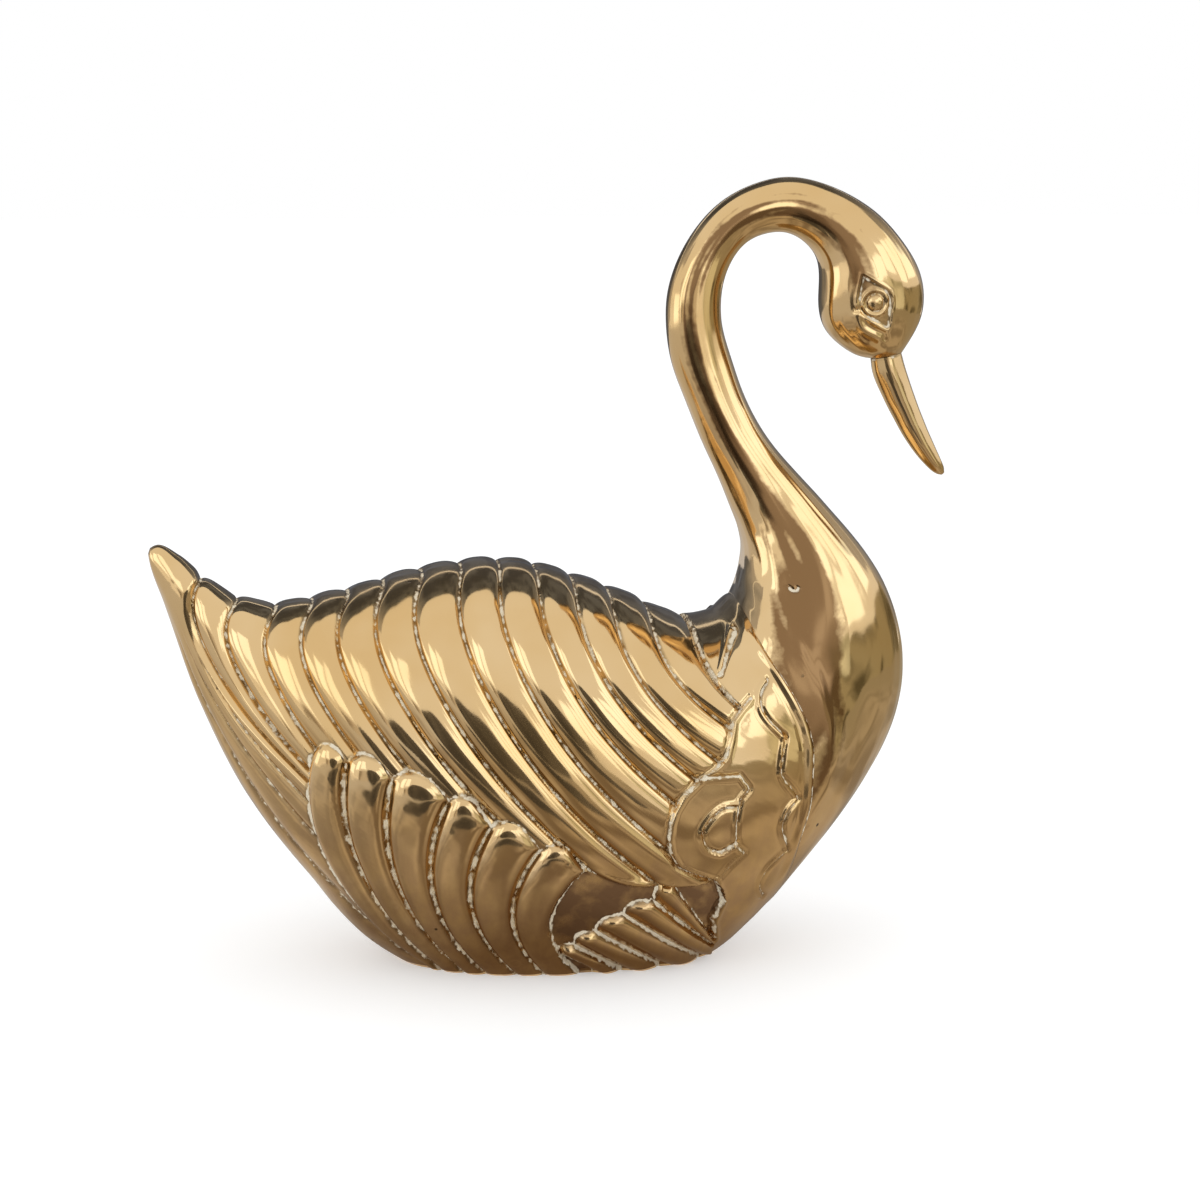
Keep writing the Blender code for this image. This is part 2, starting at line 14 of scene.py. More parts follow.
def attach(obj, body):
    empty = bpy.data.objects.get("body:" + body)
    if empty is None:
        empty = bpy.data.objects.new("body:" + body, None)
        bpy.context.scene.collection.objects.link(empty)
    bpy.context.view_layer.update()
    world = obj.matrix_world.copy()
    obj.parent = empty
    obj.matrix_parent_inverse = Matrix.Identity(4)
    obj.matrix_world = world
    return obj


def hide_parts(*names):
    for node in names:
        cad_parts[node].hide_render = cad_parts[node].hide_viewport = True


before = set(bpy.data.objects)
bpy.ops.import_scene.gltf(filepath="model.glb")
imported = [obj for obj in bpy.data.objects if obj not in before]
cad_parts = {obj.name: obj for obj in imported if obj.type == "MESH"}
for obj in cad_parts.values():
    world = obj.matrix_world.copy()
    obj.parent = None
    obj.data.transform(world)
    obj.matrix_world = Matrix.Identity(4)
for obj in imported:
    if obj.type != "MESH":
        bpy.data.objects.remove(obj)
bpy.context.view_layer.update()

MM = 0.001

# Guards against a division by nothing
TINY = 1e-6
FLAT = 1e-9
NONZERO = 1e-12

# Camera, in millimetres and degrees
VIEW_TARGET = (14.46, 0.0, 108.08)
VIEW_DISTANCE = 800.0
VIEW_ELEVATION = 10.26
VIEW_YAW = 6.52
LENS = 80.0
SENSOR = 36.0

# Castings
WALL = 4.0
SEAM = 0.02
CAVITY_REAR = -99.0
CAVITY_ROUNDING = 14.0

# Runs over which relief fades out, and the same as shares of the neck's length at its ends
TAIL_FADE = 6.0
JOINT_FADE = 4.0
NECK_SEAM_FADE = 3.0
NECK_END_FADES = (0.04, 0.03)

# Body outlines seen from the side, as (x, z) from the tail to the neck
TAIL_TIP = (-119.0, 124.5)
SPINE = (TAIL_TIP, (-118.3, 126.3), (-116, 127.2), (-110, 124), (-103, 117.8), (-93, 111.7),
         (-82, 109.3), (-66, 112), (-48, 116.6), (-30, 120.3), (-20, 121.2), (-10, 120.4), (5, 116.6),
         (24, 109.6), (35, 104.4), (42, 102.4), (49, 103.6), (55, 108.5), (62, 110), (76, 108))
KEEL = (TAIL_TIP, (-118.4, 121), (-115, 110.6), (-106, 82.4), (-93.7, 54.8), (-84.7, 40.8), (-74.4, 27),
        (-67, 17.5), (-58, 7.8), (-50, 1.5), (-40, -4), (-20, -10), (0, -11.5), (20, -10), (40, -5),
        (49.5, 0), (63.5, 13.5), (76, 26))
KEEL_REAR_POINTS = 11

# Body half-width, and the height at which it is widest, along x
HALF_WIDTH = ((-119, 0.0), (-118.3, 2.2), (-116, 4.2), (-105, 11), (-93, 18), (-74, 30), (-50, 40.5),
              (-29, 45), (4, 48), (31, 46.5), (61, 41), (76, 36))
WIDEST_HEIGHT = ((-119, 124.5), (-105, 103), (-93, 86), (-74, 72), (-50, 63), (-20, 60), (4, 59), (31, 57),
                 (61, 56), (76, 58))
UPPER_FULLNESS = 2.3
LOWER_FULLNESS = 2.0

# Angle round a body section up to which all grids are alike, the grid's share up to it, and settling rounds
EVEN_ANGLE = 2.4
EVEN_SHARE = 0.8
SETTLE_COUNT = 40

# Joint between body and neck seen from the side, as (z, x) from the keel up to the back
JOINT = ((13.5, 63.5), (31, 68), (42, 70), (54, 72.6), (68, 73.2), (75, 72), (82, 69), (89, 65),
         (96, 60.5), (103, 57), (108.5, 55))
JOINT_BEAD = 0.7
JOINT_BEAD_PLACE = (1.3, 0.9)
JOINT_BEAD_RAMP = 0.8
JOINT_CUT = 0.3
JOINT_CUT_PLACE = (3.5, 0.9)
JOINT_RESIDUE = 0.72

# Heights between which the joint shows as a line, each with the run over which it fades
JOINT_LINE_TOP = (104.0, 8.0)
JOINT_LINE_FOOT = (24.0, 20.0)

# Wing flutes: station on the spine, backward bow, forward sweep per square of the depth below the spine
FLUTE_GROOVES = ((-103, 5.0, 0.0095), (-93, 5.0, 0.0095), (-82, 5.0, 0.0085), (-71.5, 5.0, 0.0085),
                 (-61, 5.0, 0.0080), (-50.5, 4.5, 0.0076), (-39, 4.5, 0.0068), (-27.5, 2.8, 0.0067),
                 (-16, 2.0, 0.0072), (-5, 0.7, 0.0090), (6, 0.5, 0.0112), (17, 0.5, 0.0140),
                 (28.5, 0.5, 0.0220), (41, 0.5, 0.0270))
FLUTE_BOW_DEPTH = 14.0
FLUTE_DEPTH_AT_SPINE = 1.2
FLUTE_DEPTH = 2.1
FLUTE_DEPTH_RUN = 14.0
FLUTE_POWER = 2.8
FLUTE_LIP = 1.5
FLUTE_RESIDUE = 0.72

# Cut at the bottom of each groove, and the polish residue in it
CUT_DEPTH = 0.3
CUT_WIDTH = 0.45
RESIDUE_WIDTH = 0.5

# Ribs below the tail, and the share of a rib that residue takes up
TAIL_RIBS = 4
TAIL_RIB_DEPTH = 1.0
TAIL_RIB_TOP = 106.0
TAIL_RIB_FADE = 24.0
TAIL_RESIDUE = 0.5
TAIL_RESIDUE_SHARE = 0.1

# Large feathers low on the flank: x and z of each head, lean, curl per square of the depth below the head
LOBE_EDGES = ((-73, 70, 0.20, 0.0100), (-63, 69, 0.15, 0.0080), (-50, 65, 0.25, 0.0089),
              (-34, 59, 0.50, 0.0118), (-22, 51, 0.60, 0.0151), (-8, 44, 0.75, 0.0184),
              (5, 37, 1.00, 0.0270))
LOBE_HEAD_ROUND = 4.5
LOBE_TIP_RUN = 4.0
LOBE_TIP_SHARE = 0.45
LOBE_SWELL_RUN = 22.0
LOBE_SWELL_POWER = 3.5
LOBE_RISE = 4.0
LOBE_RISE_AT_RIM = 1.4
LOBE_GROOVE = 0.8
LOBE_POWER = 2.0
LOBE_SECTION_POWER = 3.4
LOBE_RESIDUE_WIDTH = 0.7
LOBE_RESIDUE = 0.84
LOBE_OUTLINE_REACH = 1.5

# Small feathers at the front of the ground rim: x and z of each head, downward slope
FEATHER_EDGES = ((-1, 7, 0.70), (3, 10.5, 0.72), (9, 15.5, 0.75), (17, 21, 0.80), (26, 25, 0.95),
                 (32, 30, 1.50))
FEATHER_HEAD_RAMP = 2.0
FEATHER_RISE = 2.6
FEATHER_CREST = 1.4
FEATHER_TILT = 0.8
RECESS_DEPTH = 1.8
RECESS_LIP = 0.5
RECESS_LIP_PLACE = (-0.7, 0.8)
RECESS_EDGE = ((5, 37), (20, 31.5), (31, 30.5))
EDGE_RAMP = 1.0

# Shoulder plate ahead of the flutes: rear and front edges as (z, x), and rear points round its raised part
SHIELD_REAR = ((9, 46), (17, 44.5), (24, 47), (31.5, 44), (34.5, 37), (37, 32.5), (41, 30), (46, 29),
               (51, 29.6), (55, 31), (59, 33.5), (63.5, 38.5), (66, 43), (69, 46), (74, 47.5), (79, 48.5),
               (82, 51), (85, 54))
SHIELD_FRONT = ((31.5, 44), (36, 47.5), (40, 52), (42.5, 49.3), (49, 49.2), (56, 50), (59.5, 53),
                (63.5, 50.2), (63.6, 38.5))
SHIELD_RAISED = slice(3, 12)
SHIELD_RISE = 0.5
SHIELD_BEAD = 0.45
PLATE_FADE = 3.0

# Beads and cuts along the edges of the plate
REAR_BEAD_PLACE = (0.7, 0.7)
REAR_CUT_PLACE = (-0.7, 0.6)
FRONT_BEAD_PLACE = (0.6, 0.6)
FRONT_CUT_PLACE = (0.6, 0.5)

# Chased lines on the shoulder, as (x, z)
CHASED_LINES = (((51.1, 102.0), (48.1, 96.8), (45.7, 92.1)),
                ((58.7, 89.5), (56.7, 86.7), (56.4, 82.6), (58.4, 78.6), (63.1, 73.7)),
                ((63.4, 73.4), (62.4, 67.5), (62.4, 62.2), (66.8, 56.1)),
                ((67.5, 55.1), (64.4, 51.8), (62.8, 46.3), (65.2, 39.3)),
                ((64.9, 39.4), (59.3, 33.8), (57.4, 27.7), (59.1, 23.3)),
                ((49.5, 55.5), (44.5, 54.8), (40.2, 51.2), (38.2, 47), (40, 42.2), (44.6, 40.2),
                 (49.2, 42.5)))
CHASED_RISE = 0.6
CHASED_CUT = 0.7
CHASED_WIDTH = 0.55
CHASED_LEAN = 0.45
CHASED_CUT_PLACE = (1.1, 0.55)
CHASED_RESIDUE = 0.78
CHASED_RESIDUE_PLACE = (0.9, 0.5)

# Neck sections: the points on the back and front lines as x, z, x, z, then the half-width
NECK_SECTIONS = ((55, 108.5, 63.5, 13.5, 37), (56.2, 112, 76, 28, 36), (57, 115.5, 87, 41, 34),
                 (57.4, 119, 96.4, 54.5, 31), (57.4, 123, 103.4, 68, 28), (56.8, 127, 106.8, 84.5, 24.5),
                 (55.6, 131, 105, 101, 20.5), (54, 135, 97.8, 117.5, 17), (52, 140, 86.4, 132, 14),
                 (49, 147, 75, 144.5, 11.5), (44.6, 156.5, 65.1, 156, 9.8), (39.7, 168.5, 57.9, 168.5, 8.8),
                 (35.7, 179.5, 53.7, 180, 8.3), (34.1, 191, 50.6, 191, 8), (35.1, 202.5, 50.8, 201.5, 7.8),
                 (40.4, 215, 53.8, 209.5, 7.7), (50, 226, 58.5, 214.7, 7.7), (62, 232, 64.5, 217, 7.8),
                 (73, 233.2, 70, 217, 8), (85, 229.8, 75, 214.5, 9.3), (96, 223.4, 79, 209.5, 11.5),
                 (104.4, 214.7, 80, 203, 13.2), (110, 205, 79.9, 196.5, 13.8), (111.2, 196, 81, 190.5, 13.3),
                 (109.5, 189.5, 84.5, 185.5, 11.5), (107, 184.7, 90.5, 181.2, 8.5),
                 (105.1, 181.5, 95.7, 179.8, 4.8))
JOINT_BLEND_SECTIONS = 4
SEAT_TAPER_SECTIONS = 2
NECK_LENGTH = 330.0
NECK_RADIUS = 9.0
SEAT_RESIDUE = 0.5
SEAT_RESIDUE_SHARE = 0.006

# Small crescent flaw of the casting on the side of the neck's foot, as (x, z)
DENT = (69.3, 115.1)
DENT_RADIUS = 1.3
DENT_DEPTH = 0.5

# Eye: ball in a ring, inside an almond outline, with a fold of skin below it
EYE_CENTRE = (94.0, 197.2)
EYE_RADIUS = 2.5
EYE_RISE = 1.3
EYE_RING_RISE = 0.7
EYE_RING_PLACE = (3.7, 0.55)
EYE_SOCKET_DEPTH = 0.7
EYE_RIM_RISE = 0.35
EYE_RIM_WIDTH = 0.6
EYE_RIM_OVERLAP = 0.3
EYE_RIM_RAMP = 0.8
EYE_RESIDUE = 0.6
EYE_RESIDUE_PLACE = (0.5, 0.6)
EYE_OUTLINE = ((90.0, 205.6), (94.6, 202.9), (98.6, 199.9), (99.2, 195.4), (98.4, 189.4), (93.6, 191.6),
               (89.8, 194.0), (88.9, 198.3), (90.0, 205.6))
EYE_FOLD = ((88.9, 193.4), (90.8, 189.4), (95.9, 186.6))
EYE_FOLD_RISE = 0.45
EYE_FOLD_WIDTH = 1.2
EYE_FOLD_CUT = 0.5
EYE_FOLD_CUT_SETBACK = 1.6
EYE_FOLD_CUT_WIDTH = 0.9

# Beak: centre line from its seat to the tip, as x, z and radius, and the tenon behind the seat
BEAK_LINE = ((101.5, 176.0, 4.7), (103.9, 170.0, 4.4), (106.6, 164.0, 4.0), (109.6, 158.0, 3.6),
             (112.8, 152.5, 3.0), (115.9, 148.0, 2.2), (117.6, 145.9, 1.5), (118.6, 144.8, 0.6))
BEAK_SEAT_RADIUS = 4.5
BEAK_SHOULDER = 0.1
BEAK_TIP_REACH = 0.35
BEAK_RIDGE = 0.05
BEAK_RIDGE_COUNT = 4
BEAK_WAVE = 0.004
BEAK_WAVELENGTH = 7.0
BEAK_RESIDUE = 0.45
TENON_RADIUS = 2.7
TENON_LENGTH = 5.0

# Mesh fineness: points along and across each surface
BODY_GRID = (520, 321)
NECK_GRID = (560, 141)
CORE_GRID = (60, 28)
NECK_CORE_GRID = (110, 19)
BEAK_SIDES = 40
BEAK_STEPS = 10
SHARP_ANGLE = 60.0
BEAK_SHARP_ANGLE = 50.0
MERGE_DISTANCE = 1e-6
LEAST_EDGE = 1e-7

# Hand-finished unevenness, as wavelength and height
WAVES = ((30.0, 0.10), (11.0, 0.028))
NECK_WAVES = ((28.0, 0.05), (10.0, 0.012))
WAVE_COUNT = 14

# Polishing streaks along the flutes and the neck, as wavelength across them and height
STREAKS = ((4.0, 0.010), (1.8, 0.003))
NECK_STREAKS = ((0.5, 0.0034), (0.2, 0.0014))
STREAK_STRETCH = 12.0

# Seeds of the uneven surfaces
BODY_SEED = 0
NECK_SEED = 10
STREAK_SEED = 20
NECK_STREAK_SEED = 24
REFLECTION_BAND_SEED = 27
BEAK_SEED = 30

# Painted brown reflection as a band along the neck, by share of its length: angle from the back line, width,
# strength, raggedness
REFLECTION_BAND_ANGLE = ((0, 1.28), (0.5, 1.28), (0.67, 1.57), (0.77, 1.87), (0.83, 1.95), (1, 1.95))
REFLECTION_BAND_WIDTH = ((0, 0.6), (0.1, 0.5), (0.2, 0.3), (0.6, 0.27), (0.77, 0.36), (1, 0.36))
REFLECTION_BAND_ALONG = ((0, 0.8), (0.08, 1.0), (0.22, 1.0), (0.4, 0.9), (0.55, 0.8), (0.7, 1.0), (0.8, 0.9),
                (0.86, 0.35), (0.9, 0), (1, 0))
REFLECTION_BAND_WAVES = ((0.8, 0.08), (0.25, 0.08))

# Shares that points carry for the material
SHARES = ("residue", "tarnish", "patina", "soil", "inside")

# Heights between which the tarnish of the lower feathers fades out; it is partly real tarnish and partly
# painted shade, darker towards the bottom
TARNISH_AND_SHADE_FULL = 18.0
TARNISH_AND_SHADE_NONE = 78.0

# Colours of the metal, of what lies on it, and of the painted shade and painted reflection on it
GOLD_LIGHT = (0.74, 0.53, 0.28, 1)
GOLD_DEEP = (0.68, 0.455, 0.205, 1)
# Tarnish colour, which also paints shade on the lower metal
TARNISH_AND_SHADE = (0.58, 0.385, 0.205, 1)
# Painted shade in the recess behind the small feathers
RECESS_SHADE = (0.32, 0.20, 0.115, 1)
# Dark brown for the dirt in pits and for painted shade along grooves and outlines
GRIME_AND_SHADE = (0.10, 0.065, 0.035, 1)
# Colour of the painted brown reflection along the neck and breast
BROWN_REFLECTION = (0.25, 0.14, 0.06, 1)
RESIDUE = (0.86, 0.76, 0.58, 1)
CASTING = (0.30, 0.21, 0.10, 1)

# Noises of the metal as scale and detail: drift, clouds, flecks, grain, choice of spots, and streaks
NOISES = ((28.0, 3.0), (160.0, 6.0), (520.0, 3.0), (1400.0, 3.0), (45.0, 2.0))
STREAK_NOISE = (300.0, 4.0)
STREAK_SQUEEZE = (1.0, 1.0, 0.2)
SPOT_SCALE = 115.0

# Ranges of a noise or a share over which each finish, painted shade and painted reflection sets in
COLOUR_DRIFT = (0.35, 0.65)
ROUGHNESS_DRIFT = (0.3, 0.7)
PIT_EDGE = (0.085, 0.05)
PIT_CHOICE = (0.55, 0.6)
CRUST_EDGE = (1.84, 2.1)
CRUST_SHARE = (0.1, 0.3)
GROOVE_SHADE_SHARE = (0.05, 0.4)
GROOVE_SHADE_CLOUD = (0.35, 0.6)
RECESS_SHADE_CLOUD = (0.25, 0.55)
STREAK_EDGE = (0.75, 1.2)
REFLECTION_BAND_EDGE = (0.8, 1.2)
RING_INSIDE = (0.15, 0.2)
RING_OUTSIDE = (0.27, 0.22)
RING_CHOICE = (0.5, 0.42)

# Weights of noises, finishes, painted shade and painted reflection
CRUST_FLECK = 1.6
CRUST_CLOUD = 1.1
REFLECTION_BAND_RAGGEDNESS = 0.5
RING_STRENGTH = 0.5
GROOVE_SHADE_STRENGTH = 0.6

# Roughness of polished metal, then of tarnish with painted shade, the painted brown reflection band, painted
# shade in the recess, painted shade along grooves with pits, residue and raw casting
POLISH_ROUGHNESS = (0.07, 0.13)
FINISH_ROUGHNESS = (0.19, 0.17, 0.45, 0.4, 0.75, 0.6)
RESIDUE_METALLIC = 0.1

# Fine bumps: heights of clouds, of grain on metal and on residue, and of pits
CLOUD_HEIGHT = 0.35
GRAIN_HEIGHT = (0.05, 0.6)
PIT_HEIGHT = 0.8
BUMP_STRENGTH = 0.25
BUMP_DISTANCE = 0.0002

# Floor and world, in metres
WHITE = (1, 1, 1, 1)
FLOOR_SIZE = 12.0
FLOOR_COLOUR = (0.82, 0.82, 0.82, 1)
FLOOR_ROUGHNESS = 0.9
FLOOR_GLOW = 0.36
FILL_LIGHT = 0.85

# Studio cards: a darker and a lighter colour, and the scale of the drift between them
CARD_DRIFT = (0.42, 0.58)
WALL_CARD = ((0.075, 0.08, 0.095), (0.14, 0.155, 0.19), 4.0)
LOW_CARD = ((0.36, 0.32, 0.28), (0.70, 0.66, 0.62), 3.0)
DARK_CARD = ((0.08, 0.075, 0.07), (0.15, 0.14, 0.13), 8.0)
TABLE_CARD = ((0.25, 0.20, 0.15), (0.57, 0.50, 0.41), 11.0)
SIDE_CARD = ((0.12, 0.105, 0.065), (0.40, 0.36, 0.25), 4.0)
FRONT_CARD = ((0.34, 0.34, 0.26), (0.84, 0.85, 0.72), 4.0)

# Wall: colour of its sides, and the distances over which it sets in
WALL_SIDES = (0.50, 0.50, 0.52, 1)
WALL_REACH = (0.45, 1.2)

# Table: colours left, right and of the painted shadow under the swan, and the distances over which they
# change
TABLE_LEFT = (0.68, 0.68, 0.70, 1)
TABLE_RIGHT = (0.38, 0.34, 0.26, 1)
TABLE_CONTACT_SHADOW = (0.17, 0.12, 0.08, 1)
TABLE_SHADE_CENTRE = (0.06, -0.13, 0.0)
TABLE_ASIDE = (-0.15, 0.3)
TABLE_SHADE_REACH = (0.08, 0.5)
TABLE_CONTACT_SHADOW_REACH = (0.04, 0.09)

# Places of the cards, in metres and degrees
BACK_RADIUS = 0.9
BACK_CENTRE_HEIGHT = 0.1
BACK_HALF_SPAN = 1.6
BACK_LOW = (150, 186)
BACK_HIGH = (106, 146.5)
LOW_FRONT = ((-1.2, -1.0), (0.12, -1.0), 0.22)
RIGHT_SIDE = ((0.8, -0.45), (0.8, 0.6), 0.26)
RIGHT_FRONT = ((0.5, -0.7), (0.8, -0.45), 0.31)
TABLE_AREA = ((-1.2, -1.3), (0.8, 0.95), 0.0006)
DARK_OVAL = ((-0.08, -0.3, 0.09), (0.15, 0, 0), (0, 0, 0.07))
DARK_LOW_OVAL = ((-0.08, -0.27, 0.0012), (0.17, 0, 0), (0, 0.09, 0))

# Soft lamps round the swan: azimuth from the camera's side, elevation, width, height and glow
DAYLIGHT = (0.72, 0.86, 1.0)
LAMP_AIM = (0.0, 0.0, 0.1)
LAMP_DISTANCE = 0.9
PANES = ((-90, 6, 0.45, 0.26, 1.0), (-60, 19, 0.24, 0.45, 1.1), (-41, 24, 0.2, 0.5, 0.9),
         (14, 14, 0.2, 0.26, 1.0), (30, 17, 0.22, 0.3, 1.0), (48, 27, 0.25, 0.28, 1.0),
         (71, 27, 0.3, 0.4, 1.0), (96, 28, 0.3, 0.36, 1.0))


def slope_curve(start, end, leave, arrive, f):
    """Value at fraction f between two points with given slopes."""
    near = start * (1 + 2 * f) + leave * f
    far = end * (3 - 2 * f) - arrive * (1 - f)
    return near * (1 - f) ** 2 + far * f ** 2


def smooth_line(points):
    """A curve through points with rising first values, which never overshoots between them."""
    xs, ys = np.array(points, float).T
    secants = np.diff(ys) / np.diff(xs)
    inner = np.where(secants[:-1] * secants[1:] > 0,
                     2 * secants[:-1] * secants[1:] / (secants[:-1] + secants[1:] + NONZERO), 0)
    slopes = np.concatenate(([secants[0]], inner, [secants[-1]]))

    def value(x):
        x = np.clip(x, xs[0], xs[-1])
        k = np.clip(np.searchsorted(xs, x) - 1, 0, len(xs) - 2)
        span = xs[k + 1] - xs[k]
        f = (x - xs[k]) / span
        return slope_curve(ys[k], ys[k + 1], slopes[k] * span, slopes[k + 1] * span, f)

    return value


def spline_columns(rows, at):
    """Values of a smooth curve through evenly spaced rows, whose bending changes without a jump."""
    rows = np.array(rows, float)
    count = len(rows)
    system = 4 * np.eye(count) + np.eye(count, k=1) + np.eye(count, k=-1)
    system[0, 0] = system[-1, -1] = 2
    pull = np.empty_like(rows)
    pull[1:-1] = 3 * (rows[2:] - rows[:-2])
    pull[0], pull[-1] = 3 * (rows[1] - rows[0]), 3 * (rows[-1] - rows[-2])
    slopes = np.linalg.solve(system, pull)
    k = np.clip(at.astype(int), 0, count - 2)
    f = (at - k)[:, None]
    return slope_curve(rows[k], rows[k + 1], slopes[k], slopes[k + 1], f).T


spine = smooth_line(SPINE)
keel = smooth_line(KEEL)
keel_rear = smooth_line([(z, x) for x, z in reversed(KEEL[:KEEL_REAR_POINTS])])
half_width = smooth_line(HALF_WIDTH)
widest_height = smooth_line(WIDEST_HEIGHT)
joint = smooth_line(JOINT)
shield_rear = smooth_line(SHIELD_REAR)
recess_edge = smooth_line(RECESS_EDGE)
reflection_band_along = smooth_line(REFLECTION_BAND_ALONG)
reflection_band_angle = smooth_line(REFLECTION_BAND_ANGLE)
reflection_band_width = smooth_line(REFLECTION_BAND_WIDTH)


def slope_factor(line, x):
    """How much longer a sloping line is than its run."""
    return np.sqrt(1 + (line(x + 0.5) - line(x - 0.5)) ** 2)


def ramp(distance, run):
    """Rises smoothly from 0 to 1 over a run."""
    f = np.clip(distance / run, 0, 1)
    return f * f * (3 - 2 * f)


def bell(distance, width):
    return np.exp(-(distance / width) ** 2)


def ridge(distance, place):
    """A bell at a setback, with a width."""
    setback, width = place
    return bell(distance - setback, width)


def arch(fraction, power):
    """Height across a rib, 0 at its grooves and 1 on its crest."""
    return 1 - np.abs(2 * np.clip(fraction, 0, 1) - 1) ** power


def waviness(points, wavelength, seed):
    """Smooth unevenness of about unit height, as a sum of plane waves in seeded directions."""
    draw = np.random.RandomState(seed)
    total = np.zeros(points.shape[:-1])
    for _ in range(WAVE_COUNT):
        direction = draw.normal(size=3)
        direction *= 2 * math.pi / wavelength / np.linalg.norm(direction)
        total += np.sin(points @ direction + draw.uniform(0, 2 * math.pi))
    return total * math.sqrt(2 / WAVE_COUNT)


def unevenness(points, waves, seed):
    total = 0
    for k, (wavelength, height) in enumerate(waves):
        total = total + height * waviness(points, wavelength, seed + k)
    return total


def rounded_path(points, steps=8):
    """Points along a smooth curve through a few points."""
    points = np.array(points, float)
    padded = np.concatenate(([2 * points[0] - points[1]], points, [2 * points[-1] - points[-2]]))
    path = []
    for a, b, c, d in zip(padded, padded[1:], padded[2:], padded[3:]):
        for f in np.arange(steps) / steps:
            path.append(b + 0.5 * f * (c - a + f * (2 * a - 5 * b + 4 * c - d + f * (3 * (b - c) + d - a))))
    path.append(points[-1])
    return np.array(path)


def path_distance(x, z, path):
    """Distance to a path, and on which side of it: positive to the left when walking along it."""
    nearest = np.full(x.shape, np.inf)
    side = np.ones(x.shape)
    for (ax, az), (bx, bz) in zip(path, path[1:]):
        ux, uz = bx - ax, bz - az
        t = np.clip(((x - ax) * ux + (z - az) * uz) / (ux * ux + uz * uz), 0, 1)
        dx, dz = x - ax - t * ux, z - az - t * uz
        distance = np.hypot(dx, dz)
        closer = distance < nearest
        nearest = np.where(closer, distance, nearest)
        side = np.where(closer, np.sign(ux * dz - uz * dx), side)
    return nearest, side


def is_inside(x, z, path):
    """Whether points lie inside a closed path."""
    crossings = np.zeros(x.shape, int)
    for (ax, az), (bx, bz) in zip(path, path[1:]):
        spans = (az > z) != (bz > z)
        crossings += spans & (x < ax + (z - az) * (bx - ax) / (bz - az + NONZERO))
    return crossings % 2 == 1


def groove_x(groove, z):
    station, bow, sweep = groove
    depth = np.maximum(spine(station) - z, 0)
    lean = bow * depth / FLUTE_BOW_DEPTH * np.exp(1 - depth / FLUTE_BOW_DEPTH)
    return station - lean + sweep * depth ** 2


def groove_lines(z):
    return [groove_x(groove, z) for groove in FLUTE_GROOVES]


def lobe_edge_x(edge, z):
    x, head, lean, curl = edge
    depth = np.maximum(head - z, 0)
    return x - lean * depth + curl * depth ** 2


def across(lines, x):
    """Which gap between ordered lines x falls in, how far across it, and how far from its nearer line."""
    lines = np.array(lines)
    gap = np.clip((lines <= x).sum(axis=0) - 1, 0, len(lines) - 2)
    low = np.take_along_axis(lines, gap[None], 0)[0]
    high = np.take_along_axis(lines, gap[None] + 1, 0)[0]
    fraction = (x - low) / np.maximum(high - low, TINY)
    return gap, fraction, np.minimum(np.abs(x - low), np.abs(high - x))


def flute_relief(x, z):
    """Depth below the crests of the wing flutes and tail ribs, and the closeness of a groove."""
    grooves = groove_lines(z)
    gap, fraction, nearest = across(grooves, x)
    tilt = np.select([gap == k for k in range(len(FLUTE_GROOVES))],
                     [1 / slope_factor(lambda at, g=groove: groove_x(g, at), z) for groove in FLUTE_GROOVES])
    nearest = nearest * tilt
    below = np.clip((spine(x) - z) / FLUTE_DEPTH_RUN, 0, 1)
    depth = FLUTE_DEPTH_AT_SPINE + (FLUTE_DEPTH - FLUTE_DEPTH_AT_SPINE) * below
    inside = (x > grooves[0]) & (x < grooves[-1])
    flutes = np.where(inside, -depth * (1 - arch(fraction, FLUTE_POWER)), 0)
    behind = np.clip((x - keel_rear(z)) / np.maximum(grooves[0] - keel_rear(z), TINY), 0, 1)
    rib = (0.5 + behind * (TAIL_RIBS - 0.5)) % 1
    rib_share = ramp(TAIL_RIB_TOP - z, TAIL_RIB_FADE)
    ribs = -TAIL_RIB_DEPTH * (1 - arch(rib, FLUTE_POWER)) * rib_share
    lip = -depth * bell(grooves[0] - x, FLUTE_LIP)
    relief = np.where(x <= grooves[0], np.minimum(ribs, lip), flutes)
    from_rib = np.minimum(rib, 1 - rib)
    in_tail = TAIL_RESIDUE * bell(from_rib, TAIL_RESIDUE_SHARE) * rib_share * (x <= grooves[0])
    near = np.maximum(FLUTE_RESIDUE * bell(nearest, RESIDUE_WIDTH), in_tail)
    return relief - CUT_DEPTH * bell(nearest, CUT_WIDTH), near


